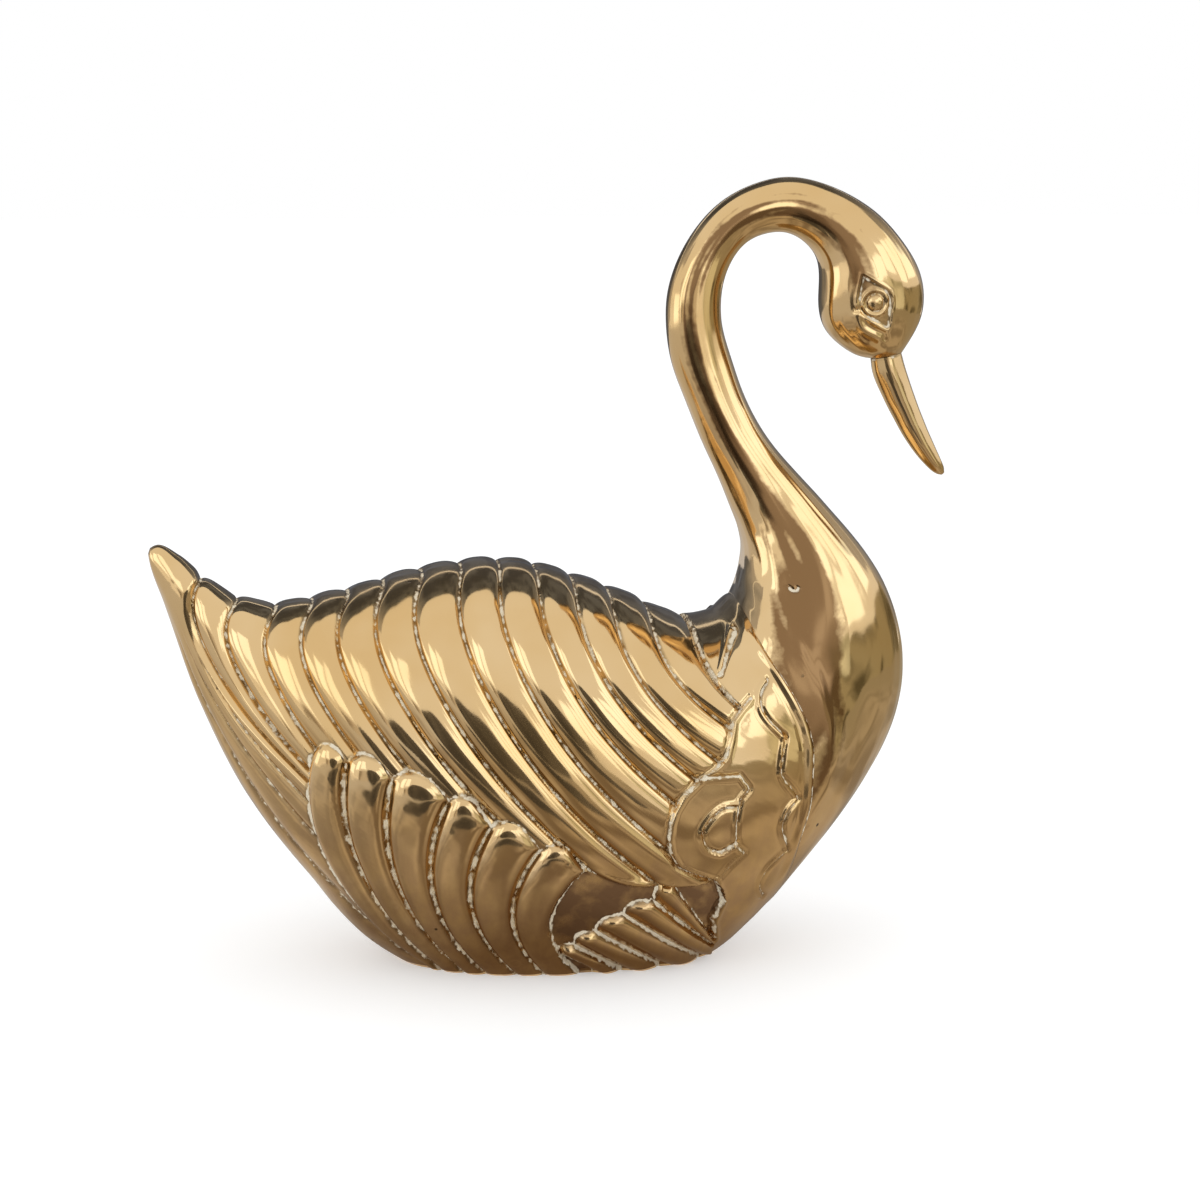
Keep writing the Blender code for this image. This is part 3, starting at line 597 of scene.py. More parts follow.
def lobe_relief(x, z):
    """Rise of the large feathers, how far inside them a point is, and the closeness of their outline."""
    edges = [lobe_edge_x(edge, z) for edge in LOBE_EDGES]
    gap, fraction, nearest = across(edges, x)
    heads = np.array([edge[1] for edge in LOBE_EDGES], float)
    crown = heads[gap] + (heads[gap + 1] - heads[gap]) * fraction
    crown = crown + LOBE_HEAD_ROUND * arch(fraction, LOBE_POWER)
    below = crown - z
    within = ramp(x - edges[0], EDGE_RAMP) * ramp(edges[-1] - x, EDGE_RAMP)
    inside = ramp(below, EDGE_RAMP) * within
    rise = LOBE_RISE + (LOBE_RISE_AT_RIM - LOBE_RISE) * np.clip(below / np.maximum(crown, 1), 0, 1)
    tip = np.sqrt(1 - (1 - np.clip(below / LOBE_TIP_RUN, 0, 1)) ** 2)
    swell = 1 - (1 - np.clip(below / LOBE_SWELL_RUN, 0, 1)) ** LOBE_SWELL_POWER
    bulge = LOBE_TIP_SHARE * tip + (1 - LOBE_TIP_SHARE) * swell
    relief = rise * bulge * arch(fraction, LOBE_SECTION_POWER) - LOBE_GROOVE
    relief -= CUT_DEPTH * bell(nearest, CUT_WIDTH)
    sides = bell(nearest, LOBE_RESIDUE_WIDTH) * ramp(below + EDGE_RAMP, LOBE_OUTLINE_REACH)
    outline = LOBE_RESIDUE * np.maximum(sides, bell(below, LOBE_RESIDUE_WIDTH) * within)
    outline = outline * (x > edges[0] - LOBE_OUTLINE_REACH) * (x < edges[-1] + LOBE_OUTLINE_REACH)
    return relief, inside, outline


def feather_relief(x, z):
    """Rise of the small feathers at the front of the rim, how far inside a point is, and their outline."""
    edges = [head - slope * (x - start) for start, head, slope in FEATHER_EDGES]
    gap, fraction, nearest = across(edges, z)
    nearest = nearest * FEATHER_TILT
    starts = np.array([edge[0] for edge in FEATHER_EDGES], float)
    top = FEATHER_EDGES[-1][1]
    head_x = starts[gap] + (starts[gap + 1] - starts[gap]) * fraction
    head_x = head_x - FEATHER_HEAD_RAMP * arch(fraction, LOBE_POWER)
    within = (z > edges[0]) * (z < edges[-1]) * (z < top)
    inside = ramp(x - head_x, EDGE_RAMP) * within
    bulge = np.sqrt(np.clip((x - head_x) / FEATHER_HEAD_RAMP, 0, 1))
    relief = FEATHER_RISE * bulge * arch(np.clip(fraction, 0, 1) ** FEATHER_CREST, LOBE_POWER) - RECESS_DEPTH
    sides = bell(nearest, RESIDUE_WIDTH) * (x > head_x - EDGE_RAMP)
    outline = np.maximum(sides, bell(x - head_x, RESIDUE_WIDTH))
    return relief - CUT_DEPTH * bell(nearest, CUT_WIDTH), inside, outline * within


def wing_relief(x, z):
    """Height of the wing's feathers over the smooth body skin, where polish residue gathers, and where shade
    is painted in the recess.
    """
    relief, residue = flute_relief(x, z)
    recess = ramp(recess_edge(x) - z, EDGE_RAMP)
    recess *= (x > lobe_edge_x(LOBE_EDGES[-1], z)) * (z < RECESS_EDGE[0][1])
    relief = relief * (1 - recess) - RECESS_DEPTH * recess
    along_edge = (x > RECESS_EDGE[0][0]) * (x < RECESS_EDGE[-1][0])
    relief += RECESS_LIP * ridge(recess_edge(x) - z, RECESS_LIP_PLACE) * along_edge
    residue = residue * (1 - recess)
    # Painted shade fills the recess, and is taken off where feathers or the plate lie over it
    soil = recess
    for feathers in (lobe_relief, feather_relief):
        rise, inside, outline = feathers(x, z)
        relief = relief * (1 - inside) + rise * inside
        residue = np.maximum(residue * (1 - inside), outline)
        soil = soil * (1 - inside)

    rear_path = np.array([(at, height) for height, at in SHIELD_REAR])
    front_path = np.array([(at, height) for height, at in SHIELD_FRONT])
    to_rear, _ = path_distance(x, z, rear_path)
    to_front, _ = path_distance(x, z, front_path)
    top, top_x = SHIELD_REAR[-1]
    ahead = np.where(z < top, x - shield_rear(z), x - top_x)
    past_rear = to_rear * np.sign(ahead)
    plate = ramp(past_rear + EDGE_RAMP / 2, EDGE_RAMP) * ramp(top + PLATE_FADE - z, PLATE_FADE)
    outline = np.concatenate((rear_path[SHIELD_RAISED], front_path[::-1]))
    enclosed = is_inside(x, z, outline)
    edge = np.minimum(to_front, to_rear)
    raised = ramp(np.where(enclosed, edge, -edge) + EDGE_RAMP / 2, EDGE_RAMP)
    relief = relief * (1 - plate) + SHIELD_RISE * raised
    relief += SHIELD_BEAD * (ridge(past_rear, REAR_BEAD_PLACE) + raised * ridge(to_front, FRONT_BEAD_PLACE))
    front_cut = (1 - raised) * plate * ridge(to_front, FRONT_CUT_PLACE)
    relief -= SHIELD_BEAD * (ridge(past_rear, REAR_CUT_PLACE) + front_cut)
    lines = np.maximum(bell(to_rear, RESIDUE_WIDTH), bell(to_front, RESIDUE_WIDTH))
    residue = np.maximum(residue * (1 - plate), CHASED_RESIDUE * lines)
    soil = soil * (1 - plate)

    for line in CHASED_LINES:
        away, side = path_distance(x, z, rounded_path(line))
        lean = 1 - CHASED_LEAN + CHASED_LEAN * side * ramp(away, CHASED_WIDTH)
        relief += CHASED_RISE * bell(away, CHASED_WIDTH)
        relief -= CHASED_CUT * lean * ridge(away, CHASED_CUT_PLACE)
        residue = np.maximum(residue, CHASED_RESIDUE * lean * ridge(away, CHASED_RESIDUE_PLACE))
    return relief, residue, soil


def body_section(x, s, inset):
    """Point at share s of the way round a body section, from the spine to the rim or keel."""
    top = spine(x) - inset * slope_factor(spine, x)
    bottom = keel(x) + inset * slope_factor(keel, x)
    middle = np.clip(widest_height(x), bottom, top)
    width = half_width(x) - inset
    if inset:
        into = np.clip((x - CAVITY_REAR) / CAVITY_ROUNDING, 0, 1)
        shrink = np.sqrt(1 - (1 - into) ** 2)
        top, bottom = middle + (top - middle) * shrink, middle + (bottom - middle) * shrink
        width = width * shrink
    rim = np.clip(middle / np.maximum(middle - bottom, TINY), 0, 1) ** (LOWER_FULLNESS / 2)
    even = EVEN_ANGLE * s / EVEN_SHARE
    uneven = EVEN_ANGLE + (np.arccos(-rim) - EVEN_ANGLE) * (s - EVEN_SHARE) / (1 - EVEN_SHARE)
    angle = np.where(s < EVEN_SHARE, even, uneven)
    up = np.clip(np.cos(angle), 0, 1) ** (2 / UPPER_FULLNESS)
    down = np.clip(-np.cos(angle), 0, 1) ** (2 / LOWER_FULLNESS)
    fullness = np.where(np.cos(angle) > 0, UPPER_FULLNESS, LOWER_FULLNESS)
    y = width * np.clip(np.sin(angle), 0, 1) ** (2 / fullness)
    return y, middle + (top - middle) * up - (middle - bottom) * down


def body_surface(counts, inset, rear):
    """Grid of points over one body half, from the tail or cavity end to the neck joint."""
    u, s = np.meshgrid(np.linspace(0, 1, counts[0]), np.linspace(0, 1, counts[1]), indexing="ij")
    x = rear + (JOINT[0][1] - rear) * u
    for _ in range(SETTLE_COUNT):
        y, z = body_section(x, s, inset)
        x = rear + (joint(z) - rear) * u
    return np.stack((x, y + SEAM / 2, z), axis=-1)


def grid_normals(points):
    along = np.gradient(points, axis=0)
    across_grid = np.gradient(points, axis=1)
    normals = np.cross(along, across_grid)
    normals /= np.linalg.norm(normals, axis=-1, keepdims=True) + FLAT
    return normals * np.sign(np.sum(normals[..., 1]))


# Share of tarnish and painted shade: full low down, none high up
def tarnish_and_shade_share(z):
    return 1 - ramp(z - TARNISH_AND_SHADE_FULL, TARNISH_AND_SHADE_NONE - TARNISH_AND_SHADE_FULL)


def body_skin():
    """The finished outer surface of a body half, with the shares on it."""
    skin = body_surface(BODY_GRID, 0.0, TAIL_TIP[0])
    x, z = skin[..., 0], skin[..., 2]
    on_seam = skin[:, -1, 1] <= SEAM / 2 + TINY
    relief, residue, soil = wing_relief(x, z)
    to_joint = joint(z) - x
    relief *= ramp(to_joint, JOINT_FADE) * ramp(x - TAIL_TIP[0], TAIL_FADE)
    top, top_fade = JOINT_LINE_TOP
    foot, foot_fade = JOINT_LINE_FOOT
    line = ramp(top - z, top_fade) * ramp(z - foot, foot_fade)
    relief += JOINT_BEAD * ridge(to_joint, JOINT_BEAD_PLACE) * ramp(to_joint, JOINT_BEAD_RAMP) * line
    relief -= JOINT_CUT * ridge(to_joint, JOINT_CUT_PLACE) * line
    residue = np.maximum(residue, JOINT_RESIDUE * bell(to_joint, RESIDUE_WIDTH) * line)
    free = ramp(to_joint, JOINT_FADE) * ramp(skin[..., 1], JOINT_FADE)
    relief += unevenness(skin, WAVES, BODY_SEED) * free
    gap, fraction, _ = across(groove_lines(z), x)
    pitch = FLUTE_GROOVES[1][0] - FLUTE_GROOVES[0][0]
    combed = np.stack(((gap + fraction) * pitch, z / STREAK_STRETCH, 0 * z), axis=-1)
    relief += unevenness(combed, STREAKS, STREAK_SEED) * free
    normals = grid_normals(skin)
    normals[:, 0, 1] = 0
    skin = skin + normals * relief[..., None]
    skin[:, 0, 1] = SEAM / 2
    skin[..., 1] = np.maximum(skin[..., 1], SEAM / 2)
    skin[..., 2] = np.maximum(skin[..., 2], 0)
    skin[on_seam, -1, 1] = SEAM / 2
    skin[~on_seam, -1, 2] = 0
    skin[0] = skin[0].mean(axis=0)
    return skin, {"residue": residue, "tarnish": tarnish_and_shade_share(z), "soil": soil}


def neck_surface(counts, inset, rim):
    """Grid of points over one neck half, from the body joint round the crook to the beak's seat."""
    last = len(NECK_SECTIONS) - 1
    station = np.linspace(0, last, counts[0])
    back_x, back_z, front_x, front_z, width = spline_columns(NECK_SECTIONS, station)
    centre = np.stack(((back_x + front_x) / 2, 0 * station, (back_z + front_z) / 2), axis=-1)
    reach = np.stack(((back_x - front_x) / 2, 0 * station, (back_z - front_z) / 2), axis=-1)
    length = np.linalg.norm(reach, axis=-1)
    if inset:
        seat_wall = length[-1] - TENON_RADIUS
        to_seat = ramp(station - last + SEAT_TAPER_SECTIONS, SEAT_TAPER_SECTIONS)
        wall = inset + (seat_wall - inset) * to_seat
        reach *= ((length - wall) / length)[:, None]
        width = width - wall
    angle = np.linspace(0, math.pi, counts[1])
    rings = centre[:, None] + reach[:, None] * np.cos(angle)[None, :, None]
    rings[..., 1] = width[:, None] * np.sin(angle)[None] + SEAM / 2
    blend = 1 - ramp(station, JOINT_BLEND_SECTIONS)
    rings += blend[:, None, None] * (rim - rings[0])[None]
    rings[:, (0, -1), 1] = SEAM / 2
    return rings


def joint_rim(count, inset):
    """The body's edge at the neck joint."""
    rear = CAVITY_REAR if inset else TAIL_TIP[0]
    return body_surface((2, count), inset, rear)[-1]


def eye_relief(x, z):
    """Height of the eye and the fold below it, and where polish residue gathers."""
    from_eye = np.hypot(x - EYE_CENTRE[0], z - EYE_CENTRE[1])
    outline = rounded_path(EYE_OUTLINE)
    to_outline, _ = path_distance(x, z, outline)
    within = np.where(is_inside(x, z, outline), to_outline, -to_outline)
    almond = ramp(within + EYE_RIM_OVERLAP, EYE_RIM_RAMP)
    ball = EYE_RISE * np.sqrt(np.clip(1 - (from_eye / EYE_RADIUS) ** 2, 0, 1))
    ring = EYE_RING_RISE * ridge(from_eye, EYE_RING_PLACE)
    relief = almond * (ball + ring - EYE_SOCKET_DEPTH) + EYE_RIM_RISE * bell(to_outline, EYE_RIM_WIDTH)
    to_fold, fold_side = path_distance(x, z, rounded_path(EYE_FOLD))
    relief += EYE_FOLD_RISE * bell(to_fold, EYE_FOLD_WIDTH)
    relief -= EYE_FOLD_CUT * bell(to_fold - fold_side * EYE_FOLD_CUT_SETBACK, EYE_FOLD_CUT_WIDTH)
    round_ball = bell(from_eye - EYE_RADIUS, RESIDUE_WIDTH)
    round_rim = almond * ridge(to_outline, EYE_RESIDUE_PLACE)
    return relief, EYE_RESIDUE * np.maximum(round_ball, round_rim)


def neck_skin():
    """The finished outer surface of a neck half, with the shares on it."""
    skin = neck_surface(NECK_GRID, 0.0, joint_rim(NECK_GRID[1], 0.0))
    relief, residue = eye_relief(skin[..., 0], skin[..., 2])
    share = np.linspace(0, 1, NECK_GRID[0])[:, None]
    free = ramp(share, NECK_END_FADES[0]) * ramp(1 - share, NECK_END_FADES[1])
    free = free * ramp(skin[..., 1], NECK_SEAM_FADE)
    relief += unevenness(skin, NECK_WAVES, NECK_SEED) * free
    angle = np.linspace(0, math.pi, NECK_GRID[1])[None] + 0 * share
    run = share * NECK_LENGTH / STREAK_STRETCH / NECK_RADIUS
    combed = np.stack((angle, run + 0 * angle, 0 * angle), axis=-1)
    reach = np.max(skin[..., 1], axis=1, keepdims=True)
    relief += unevenness(combed, NECK_STREAKS, NECK_STREAK_SEED) * reach * free
    # A painted brown reflection runs along the neck at an angle from its back line
    aside = angle - reflection_band_angle(share) + unevenness(combed, REFLECTION_BAND_WAVES, REFLECTION_BAND_SEED)
    patina = bell(aside, reflection_band_width(share)) * reflection_band_along(share)
    residue = np.maximum(residue, SEAT_RESIDUE * bell(1 - share, SEAT_RESIDUE_SHARE))
    from_dent = np.hypot(skin[..., 0] - DENT[0], skin[..., 2] - DENT[1])
    crescent = bell(from_dent - DENT_RADIUS, DENT_RADIUS / 2) * (skin[..., 2] < DENT[1])
    relief -= DENT_DEPTH * crescent
    residue = np.maximum(residue, crescent)
    skin = skin + grid_normals(skin) * relief[..., None]
    skin[:, (0, -1), 1] = SEAM / 2
    return skin, {"residue": residue, "tarnish": tarnish_and_shade_share(skin[..., 2]), "patina": patina}


def grid_faces(counts, first):
    rows, columns = counts
    at = first + np.arange(rows * columns).reshape(rows, columns)
    corners = (at[:-1, :-1], at[1:, :-1], at[1:, 1:], at[:-1, 1:])
    return np.stack(corners, axis=-1).reshape(-1, 4).tolist()


def zip_faces(row, other, keys, other_keys):
    """Triangles between two rows of vertices, which are matched by their keys."""
    faces = []
    i, j = 0, 0
    while i < len(row) - 1 or j < len(other) - 1:
        last = j == len(other) - 1
        if last or (i < len(row) - 1 and keys[i + 1] <= other_keys[j + 1]):
            faces.append((row[i], row[i + 1], other[j]))
            i += 1
        else:
            faces.append((row[i], other[j + 1], other[j]))
            j += 1
    return faces


def clean_mesh(name, points, faces, shares):
    """A closed smooth mesh in metres, whose points carry named shares for the material."""
    mesh = bpy.data.meshes.new(name)
    mesh.from_pydata((points * MM).tolist(), [], faces)
    for share, values in shares.items():
        layer = mesh.attributes.new(share, "FLOAT", "POINT")
        layer.data.foreach_set("value", np.asarray(values, np.float32))
    bm = bmesh.new()
    bm.from_mesh(mesh)
    bmesh.ops.remove_doubles(bm, verts=bm.verts, dist=MERGE_DISTANCE)
    bmesh.ops.dissolve_degenerate(bm, edges=bm.edges, dist=LEAST_EDGE)
    bmesh.ops.recalc_face_normals(bm, faces=bm.faces)
    bm.to_mesh(mesh)
    bm.free()
    mesh.shade_smooth()
    return mesh


def shell_mesh(name, skin, shares, core, closed_rear):
    """A closed wall between an outer skin and the surface of the hollow inside it."""
    outer = np.arange(skin[..., 0].size).reshape(skin.shape[:2])
    inner = outer.size + np.arange(core[..., 0].size).reshape(core.shape[:2])
    faces = grid_faces(outer.shape, 0) + grid_faces(inner.shape, outer.size)
    along, along_core = np.linspace(0, 1, len(skin)), np.linspace(0, 1, len(core))
    if closed_rear:
        along, along_core = skin[:, 0, 0], core[:, 0, 0]
    for side in (0, -1):
        faces += zip_faces(outer[:, side].tolist(), inner[:, side].tolist(), along, along_core)
    round_skin, round_core = (np.linspace(0, 1, grid.shape[1]) for grid in (outer, inner))
    for end in (-1,) if closed_rear else (0, -1):
        faces += zip_faces(outer[end].tolist(), inner[end].tolist(), round_skin, round_core)
    points = np.concatenate((skin.reshape(-1, 3), core.reshape(-1, 3)))
    none = np.zeros(inner.size)
    shares = {share: np.concatenate((values.ravel(), none)) for share, values in shares.items()}
    shares["inside"] = np.concatenate((np.zeros(outer.size), none + 1))
    mesh = clean_mesh(name, points, faces, shares)
    mesh.set_sharp_from_angle(angle=math.radians(SHARP_ANGLE))
    return mesh


def beak_mesh():
    """A tapered spike on a curved centre line, with faint ridges and a tenon behind its seat."""
    back_x, back_z, front_x, front_z, _ = NECK_SECTIONS[-1]
    seat = np.array(((back_x + front_x) / 2, (back_z + front_z) / 2))
    away = np.array((back_z - front_z, front_x - back_x))
    away /= np.linalg.norm(away)
    tenon_end, shoulder = seat - away * TENON_LENGTH, seat + away * SEAM
    line = [(*tenon_end, TENON_RADIUS), (*shoulder, TENON_RADIUS)]
    line += [(*(shoulder + away * BEAK_SHOULDER), BEAK_SEAT_RADIUS), *BEAK_LINE]
    line = np.array(line)
    fine = rounded_path(line[2:], BEAK_STEPS)
    tip = fine[-1] + np.array((*(BEAK_TIP_REACH * (fine[-1] - fine[-2])[:2]), -fine[-1][2]))
    line = np.concatenate((line[:2], fine, [tip]))
    forward = np.gradient(line[:, :2], axis=0)
    forward /= np.linalg.norm(forward, axis=1, keepdims=True)
    square = np.stack((-forward[:, 1], forward[:, 0]), axis=1)
    angle = np.linspace(0, 2 * math.pi, BEAK_SIDES + 1)
    radius = line[:, 2:3] * (1 + BEAK_RIDGE * np.cos(BEAK_RIDGE_COUNT * angle))
    points = np.stack((line[:, :1] + square[:, :1] * radius * np.cos(angle),
                       radius * np.sin(angle),
                       line[:, 1:2] + square[:, 1:] * radius * np.cos(angle)), axis=-1)

    # Rows 0 and 1 close the tenon, row 2 is its foot, and the last row is the tip
    points[0] = points[0].mean(axis=0)
    tenon_rim = points[1] - points[1].mean(axis=0) + points[0].mean(axis=0)
    points = np.concatenate((points[:1], tenon_rim[None], points[1:]))
    wave = BEAK_WAVE * waviness(points, BEAK_WAVELENGTH, BEAK_SEED)
    points[3:-1] += (points[3:-1] - points[3:-1].mean(axis=1, keepdims=True)) * wave[3:-1, :, None]
    points[:, -1] = points[:, 0]
    faces = grid_faces(points.shape[:2], 0)
    residue = np.zeros(points.shape[:2])
    residue[2:5] = BEAK_RESIDUE
    mesh = clean_mesh("beak", points.reshape(-1, 3), faces, {"residue": residue.ravel()})
    mesh.set_sharp_from_angle(angle=math.radians(BEAK_SHARP_ANGLE))
    return mesh


def add_object(name, data):
    thing = bpy.data.objects.new(name, data)
    bpy.context.scene.collection.objects.link(thing)
    return thing


def new_material(name):
    material = bpy.data.materials.new(name)
    material.use_nodes = True
    return material, material.node_tree


def add_node(tree, kind, inputs=None, **settings):
    """A shader node with its settings, and its inputs set or linked."""
    node = tree.nodes.new(kind)
    for name, value in settings.items():
        setattr(node, name, value)
    for name, value in (inputs or {}).items():
        if isinstance(value, bpy.types.NodeSocket):
            tree.links.new(value, node.inputs[name])
        else:
            node.inputs[name].default_value = value
    return node


def add_math(operation, first, *others):
    """A calculation, in the tree that its first value comes from."""
    values = dict(enumerate((first, *others)))
    return add_node(first.id_data, "ShaderNodeMath", values, operation=operation).outputs[0]


def add_product(a, b):
    return add_math("MULTIPLY", a, b)


def add_sum(a, b):
    return add_math("ADD", a, b)


def add_mix(factor, a, b):
    """Colour mix from a to b."""
    return add_node(factor.id_data, "ShaderNodeMix", {0: factor, 6: a, 7: b}, data_type="RGBA").outputs[2]


def add_blend(factor, a, b):
    """Number mix from a to b."""
    return add_node(factor.id_data, "ShaderNodeMix", {0: factor, 2: a, 3: b}, data_type="FLOAT").outputs[0]


def add_range(value, low, high):
    """Value from low to high stretched to 0 to 1."""
    return add_node(value.id_data, "ShaderNodeMapRange", {0: value, 1: low, 2: high}).outputs[0]


def add_share(tree, name):
    return add_node(tree, "ShaderNodeAttribute", attribute_name=name).outputs["Fac"]


def add_noise(place, scale, detail=2.0):
    settings = {"Vector": place, "Scale": scale, "Detail": detail}
    return add_node(place.id_data, "ShaderNodeTexNoise", settings).outputs["Fac"]


def add_seen(tree):
    """1 for what the eye sees, straight or in a mirror, and 0 for light on matt surfaces."""
    path = add_node(tree, "ShaderNodeLightPath").outputs
    seen = add_math("MAXIMUM", path["Is Camera Ray"], path["Is Glossy Ray"])
    return add_math("MAXIMUM", seen, path["Is Transmission Ray"])


def brass_material():
    """Polished cast brass with tarnish and painted shade low down, a painted brown reflection band along the
    neck, pits, painted shade in the recess and along the grooves, and residue in the grooves.
    """
    material, tree = new_material("polished_brass_with_painted_shade")
    shader = tree.nodes["Principled BSDF"]
    place = add_node(tree, "ShaderNodeTexCoord").outputs["Object"]

    drift, cloud, fleck, grain, chosen = (add_noise(place, *noise) for noise in NOISES)
    squeezed = add_node(tree, "ShaderNodeMapping", {"Vector": place, "Scale": STREAK_SQUEEZE}).outputs[0]
    streak = add_noise(squeezed, *STREAK_NOISE)
    cells = add_node(tree, "ShaderNodeTexVoronoi", {"Vector": place, "Scale": SPOT_SCALE})
    spots = cells.outputs["Distance"]

    residue, tarnish, patina, soil, inside = (add_share(tree, name) for name in SHARES)
    pit = add_product(add_range(spots, *PIT_EDGE), add_range(chosen, *PIT_CHOICE))
    ragged = add_sum(add_product(fleck, CRUST_FLECK), add_product(cloud, CRUST_CLOUD))
    crust = add_range(add_sum(residue, ragged), *CRUST_EDGE)
    crust = add_product(crust, add_range(residue, *CRUST_SHARE))
    # Painted shade along the grooves and outlines where residue gathers, broken up by clouds
    groove_shade = add_product(add_range(residue, *GROOVE_SHADE_SHARE), add_range(cloud, *GROOVE_SHADE_CLOUD))
    # Painted shade in the recess, broken up by clouds
    soil = add_product(soil, add_range(cloud, *RECESS_SHADE_CLOUD))
    # Tarnish with painted shade low down, broken up by streaks and clouds
    dulled_and_shaded = add_product(tarnish, add_range(add_sum(streak, cloud), *STREAK_EDGE))
    # Painted brown reflection along the neck, with ragged edges
    band_raggedness = add_product(add_sum(fleck, cloud), REFLECTION_BAND_RAGGEDNESS)
    patina = add_range(add_sum(patina, band_raggedness), *REFLECTION_BAND_EDGE)
    ring = add_product(add_range(spots, *RING_INSIDE), add_range(spots, *RING_OUTSIDE))
    ring = add_product(ring, add_range(chosen, *RING_CHOICE))
    ring = add_product(ring, tarnish)

    ring = add_product(ring, RING_STRENGTH)
    weak_groove_shade = add_product(groove_shade, GROOVE_SHADE_STRENGTH)
    rough_grooves_and_pits = add_math("MAXIMUM", groove_shade, pit)
    colour = add_mix(add_range(drift, *COLOUR_DRIFT), GOLD_LIGHT, GOLD_DEEP)
    for share, tint in ((dulled_and_shaded, TARNISH_AND_SHADE), (patina, BROWN_REFLECTION), (ring, GOLD_LIGHT), (soil, RECESS_SHADE), (weak_groove_shade, GRIME_AND_SHADE),
                        (pit, GRIME_AND_SHADE), (crust, RESIDUE), (inside, CASTING)):
        colour = add_mix(share, colour, tint)
    tree.links.new(colour, shader.inputs["Base Color"])
    rough = add_blend(add_range(drift, *ROUGHNESS_DRIFT), *POLISH_ROUGHNESS)
    for share, value in zip((dulled_and_shaded, patina, soil, rough_grooves_and_pits, crust, inside), FINISH_ROUGHNESS):
        rough = add_blend(share, rough, value)
    tree.links.new(rough, shader.inputs["Roughness"])
    tree.links.new(add_blend(crust, 1.0, RESIDUE_METALLIC), shader.inputs["Metallic"])

    height = add_product(cloud, CLOUD_HEIGHT)
    height = add_sum(height, add_product(grain, add_blend(crust, *GRAIN_HEIGHT)))
    height = add_math("SUBTRACT", height, add_product(pit, PIT_HEIGHT))
    settings = {"Height": height, "Strength": BUMP_STRENGTH, "Distance": BUMP_DISTANCE}
    bump = add_node(tree, "ShaderNodeBump", settings)
    tree.links.new(bump.outputs["Normal"], shader.inputs["Normal"])
    return material


def add_piece(name, mesh, material, node):
    """A finished piece that stands for a CAD node."""
    mesh.materials.clear()
    mesh.materials.append(material)
    piece = add_object(name, mesh)
    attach(piece, "root")
    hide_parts(node)
    return piece


def add_halves(name, mesh, material):
    """The left half as built, at +y, and the right half as its mirror image."""
    mirrored = mesh.copy()
    mirrored.transform(Matrix.Scale(-1, 4, Vector((0, 1, 0))))
    mirrored.flip_normals()
    add_piece(name + "_left", mesh, material, name + "_left_half")
    add_piece(name + "_right", mirrored, material, name + "_right_half")


def add_swan():
    material = brass_material()
    core = body_surface(CORE_GRID, WALL, CAVITY_REAR)
    core[0] = core[0].mean(axis=0)
    add_halves("body", shell_mesh("body", *body_skin(), core, closed_rear=True), material)
    core = neck_surface(NECK_CORE_GRID, WALL, joint_rim(NECK_CORE_GRID[1], WALL))
    add_halves("neck", shell_mesh("neck", *neck_skin(), core, closed_rear=False), material)
    add_piece("beak_finished", beak_mesh(), material, "beak")


def card_material(name, dark, light, scale):
    """A matt glow that drifts between two colours."""
    material, tree = new_material(name)
    tree.nodes.remove(tree.nodes["Principled BSDF"])
    place = add_node(tree, "ShaderNodeTexCoord").outputs["Object"]
    drift = add_noise(place, scale)
    colour = add_mix(add_range(drift, *CARD_DRIFT), (*dark, 1), (*light, 1))
    glow = add_node(tree, "ShaderNodeEmission", {"Color": colour})
    tree.links.new(glow.outputs[0], tree.nodes["Material Output"].inputs["Surface"])
    return material


def card_sockets(material):
    """A card's tree, the socket of its glow's colour, that colour, and the place on the card."""
    tree = material.node_tree
    colour = tree.nodes["Emission"].inputs["Color"]
    return tree, colour, colour.links[0].from_socket, tree.nodes["Texture Coordinate"].outputs["Object"]


def table_material():
    """A matt table top, with painted shade close to the swan, a painted shadow right under it, and lighter
    farther off.
    """
    material = card_material("table_card", *TABLE_CARD)
    tree, socket, near, place = card_sockets(material)
    shade = {0: place, 1: TABLE_SHADE_CENTRE}
    away = add_node(tree, "ShaderNodeVectorMath", shade, operation="DISTANCE").outputs["Value"]
    aside = add_node(tree, "ShaderNodeSeparateXYZ", {0: place}).outputs["X"]
    far = add_mix(add_range(aside, *TABLE_ASIDE), TABLE_LEFT, TABLE_RIGHT)
    colour = add_mix(add_range(away, *TABLE_SHADE_REACH), near, far)
    # Painted contact shadow right round the swan's foot
    to_swan_foot = add_node(tree, "ShaderNodeVectorMath", {0: place}, operation="LENGTH").outputs["Value"]
    colour = add_mix(add_range(to_swan_foot, *TABLE_CONTACT_SHADOW_REACH), TABLE_CONTACT_SHADOW, colour)
    tree.links.new(colour, socket)
    return material


def wall_material():
    """A matt wall behind the swan, dark in its middle and lighter to the sides."""
    material = card_material("wall_card", *WALL_CARD)
    tree, socket, middle, place = card_sockets(material)
    aside = add_node(tree, "ShaderNodeSeparateXYZ", {0: place}).outputs["X"]
    aside = add_math("ABSOLUTE", aside)
    colour = add_mix(add_range(aside, *WALL_REACH), middle, WALL_SIDES)
    tree.links.new(colour, socket)
    return material


def add_card(name, points, faces, material):
    """A card that only the metal mirrors."""
    mesh = bpy.data.meshes.new(name)
    mesh.from_pydata(points, [], faces)
    mesh.materials.append(material)
    card = add_object(name, mesh)
    card.visible_camera = False
    card.visible_diffuse = False
    card.visible_shadow = False


def add_flat_card(name, low, high, height, material):
    corners = (low, (high[0], low[1]), high, (low[0], high[1]))
    points = [(*corner, height) for corner in corners]
    add_card(name, points, [(0, 1, 2, 3)], material)


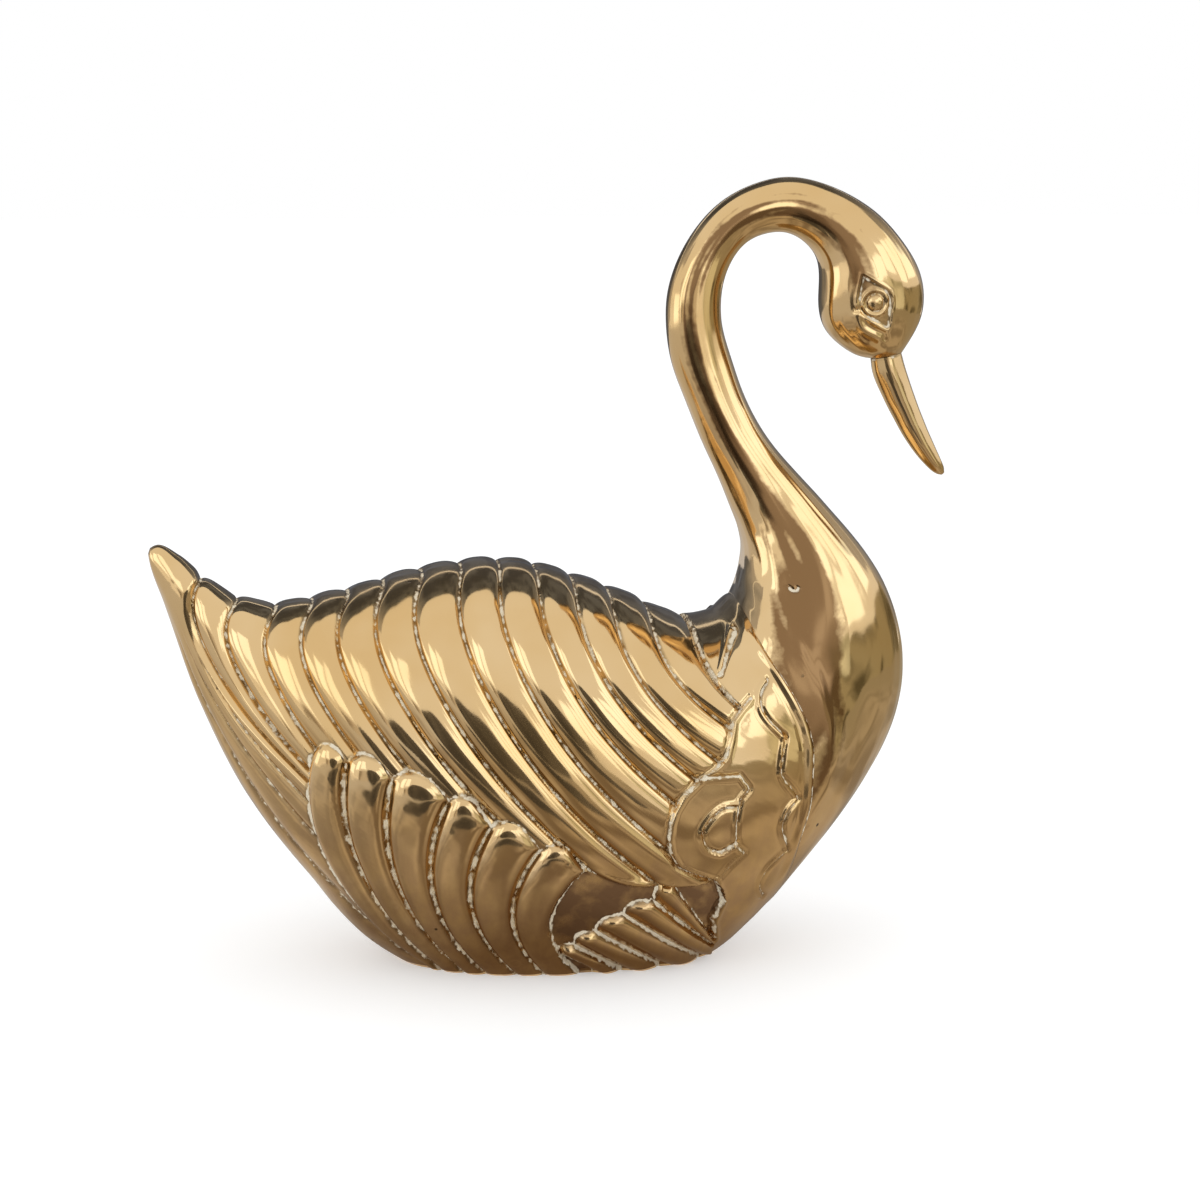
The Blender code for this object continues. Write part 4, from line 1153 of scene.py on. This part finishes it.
def add_arc_card(name, low, high, material, steps=13):
    """A card curved round an axis along X, between two angles up from the camera's side."""
    points = []
    for angle in np.radians(np.linspace(low, high, steps)):
        y, z = -BACK_RADIUS * math.cos(angle), BACK_CENTRE_HEIGHT + BACK_RADIUS * math.sin(angle)
        points += [(-BACK_HALF_SPAN, y, z), (BACK_HALF_SPAN, y, z)]
    faces = [(k, k + 1, k + 3, k + 2) for k in range(0, len(points) - 2, 2)]
    add_card(name, points, faces, material)


def add_wall_card(name, start, end, height, material):
    points = [(*start, 0), (*end, 0), (*end, height), (*start, height)]
    add_card(name, points, [(0, 1, 2, 3)], material)


def add_disc_card(name, centre, reach, other_reach, material, steps=40):
    """An oval card on its centre and two half axes."""
    angles = np.linspace(0, 2 * math.pi, steps, endpoint=False)
    centre, reach, other_reach = Vector(centre), Vector(reach), Vector(other_reach)
    points = [centre + reach * math.cos(a) + other_reach * math.sin(a) for a in angles]
    add_card(name, points, [tuple(range(len(points)))], material)


def add_floor():
    """A pale floor that is white to the eye and to the metal, and keeps the swan's shadow."""
    bpy.ops.mesh.primitive_plane_add(size=FLOOR_SIZE)
    floor = bpy.context.object
    floor.name = "floor"
    material, tree = new_material("floor")
    shader = tree.nodes["Principled BSDF"]
    shader.inputs["Base Color"].default_value = FLOOR_COLOUR
    shader.inputs["Roughness"].default_value = FLOOR_ROUGHNESS
    shader.inputs["Emission Color"].default_value = WHITE
    tree.links.new(add_product(add_seen(tree), FLOOR_GLOW), shader.inputs["Emission Strength"])
    floor.data.materials.append(material)


def add_world():
    world = bpy.data.worlds.new("studio")
    bpy.context.scene.world = world
    world.use_nodes = True
    tree = world.node_tree
    background = tree.nodes["Background"]
    background.inputs["Color"].default_value = WHITE
    tree.links.new(add_blend(add_seen(tree), FILL_LIGHT, 1.0), background.inputs["Strength"])


def outward(azimuth, elevation):
    """Direction from the swan at an azimuth from the camera's side and an elevation, in degrees."""
    turn, lift = math.radians(azimuth), math.radians(elevation)
    return Vector((math.sin(turn) * math.cos(lift), -math.cos(turn) * math.cos(lift), math.sin(lift)))


def add_softbox(name, azimuth, elevation, width, height, glow):
    """A soft lamp that faces the swan."""
    lamp = bpy.data.lights.new(name, "AREA")
    lamp.shape = "RECTANGLE"
    lamp.size, lamp.size_y = width, height
    lamp.energy = glow * math.pi * width * height
    lamp.color = DAYLIGHT
    holder = add_object(name, lamp)
    away = outward(azimuth, elevation)
    holder.location = Vector(LAMP_AIM) + away * LAMP_DISTANCE
    holder.rotation_euler = (-away).to_track_quat("-Z", "Y").to_euler()


def add_studio():
    add_floor()
    add_world()
    wall = wall_material()
    add_arc_card("back_low", *BACK_LOW, wall)
    add_arc_card("back_high", *BACK_HIGH, wall)
    add_wall_card("low_front", *LOW_FRONT, card_material("low_card", *LOW_CARD))
    dark = card_material("dark_card", *DARK_CARD)
    add_disc_card("dark", *DARK_OVAL, dark)
    add_disc_card("dark_low", *DARK_LOW_OVAL, dark)
    add_flat_card("table", *TABLE_AREA, table_material())
    add_wall_card("right_side", *RIGHT_SIDE, card_material("side_card", *SIDE_CARD))
    add_wall_card("right_front", *RIGHT_FRONT, card_material("front_card", *FRONT_CARD))
    for k, pane in enumerate(PANES):
        add_softbox(f"pane_{k + 1}", *pane)


def add_camera():
    away = outward(-VIEW_YAW, VIEW_ELEVATION)
    camera = bpy.data.cameras.new("camera")
    camera.lens = LENS
    camera.sensor_width = SENSOR
    holder = add_object("camera", camera)
    holder.location = (Vector(VIEW_TARGET) + away * VIEW_DISTANCE) * MM
    holder.rotation_euler = (-away).to_track_quat("-Z", "Y").to_euler()
    bpy.context.scene.camera = holder


add_swan()
add_studio()
add_camera()
bpy.context.scene.view_settings.view_transform = "Standard"
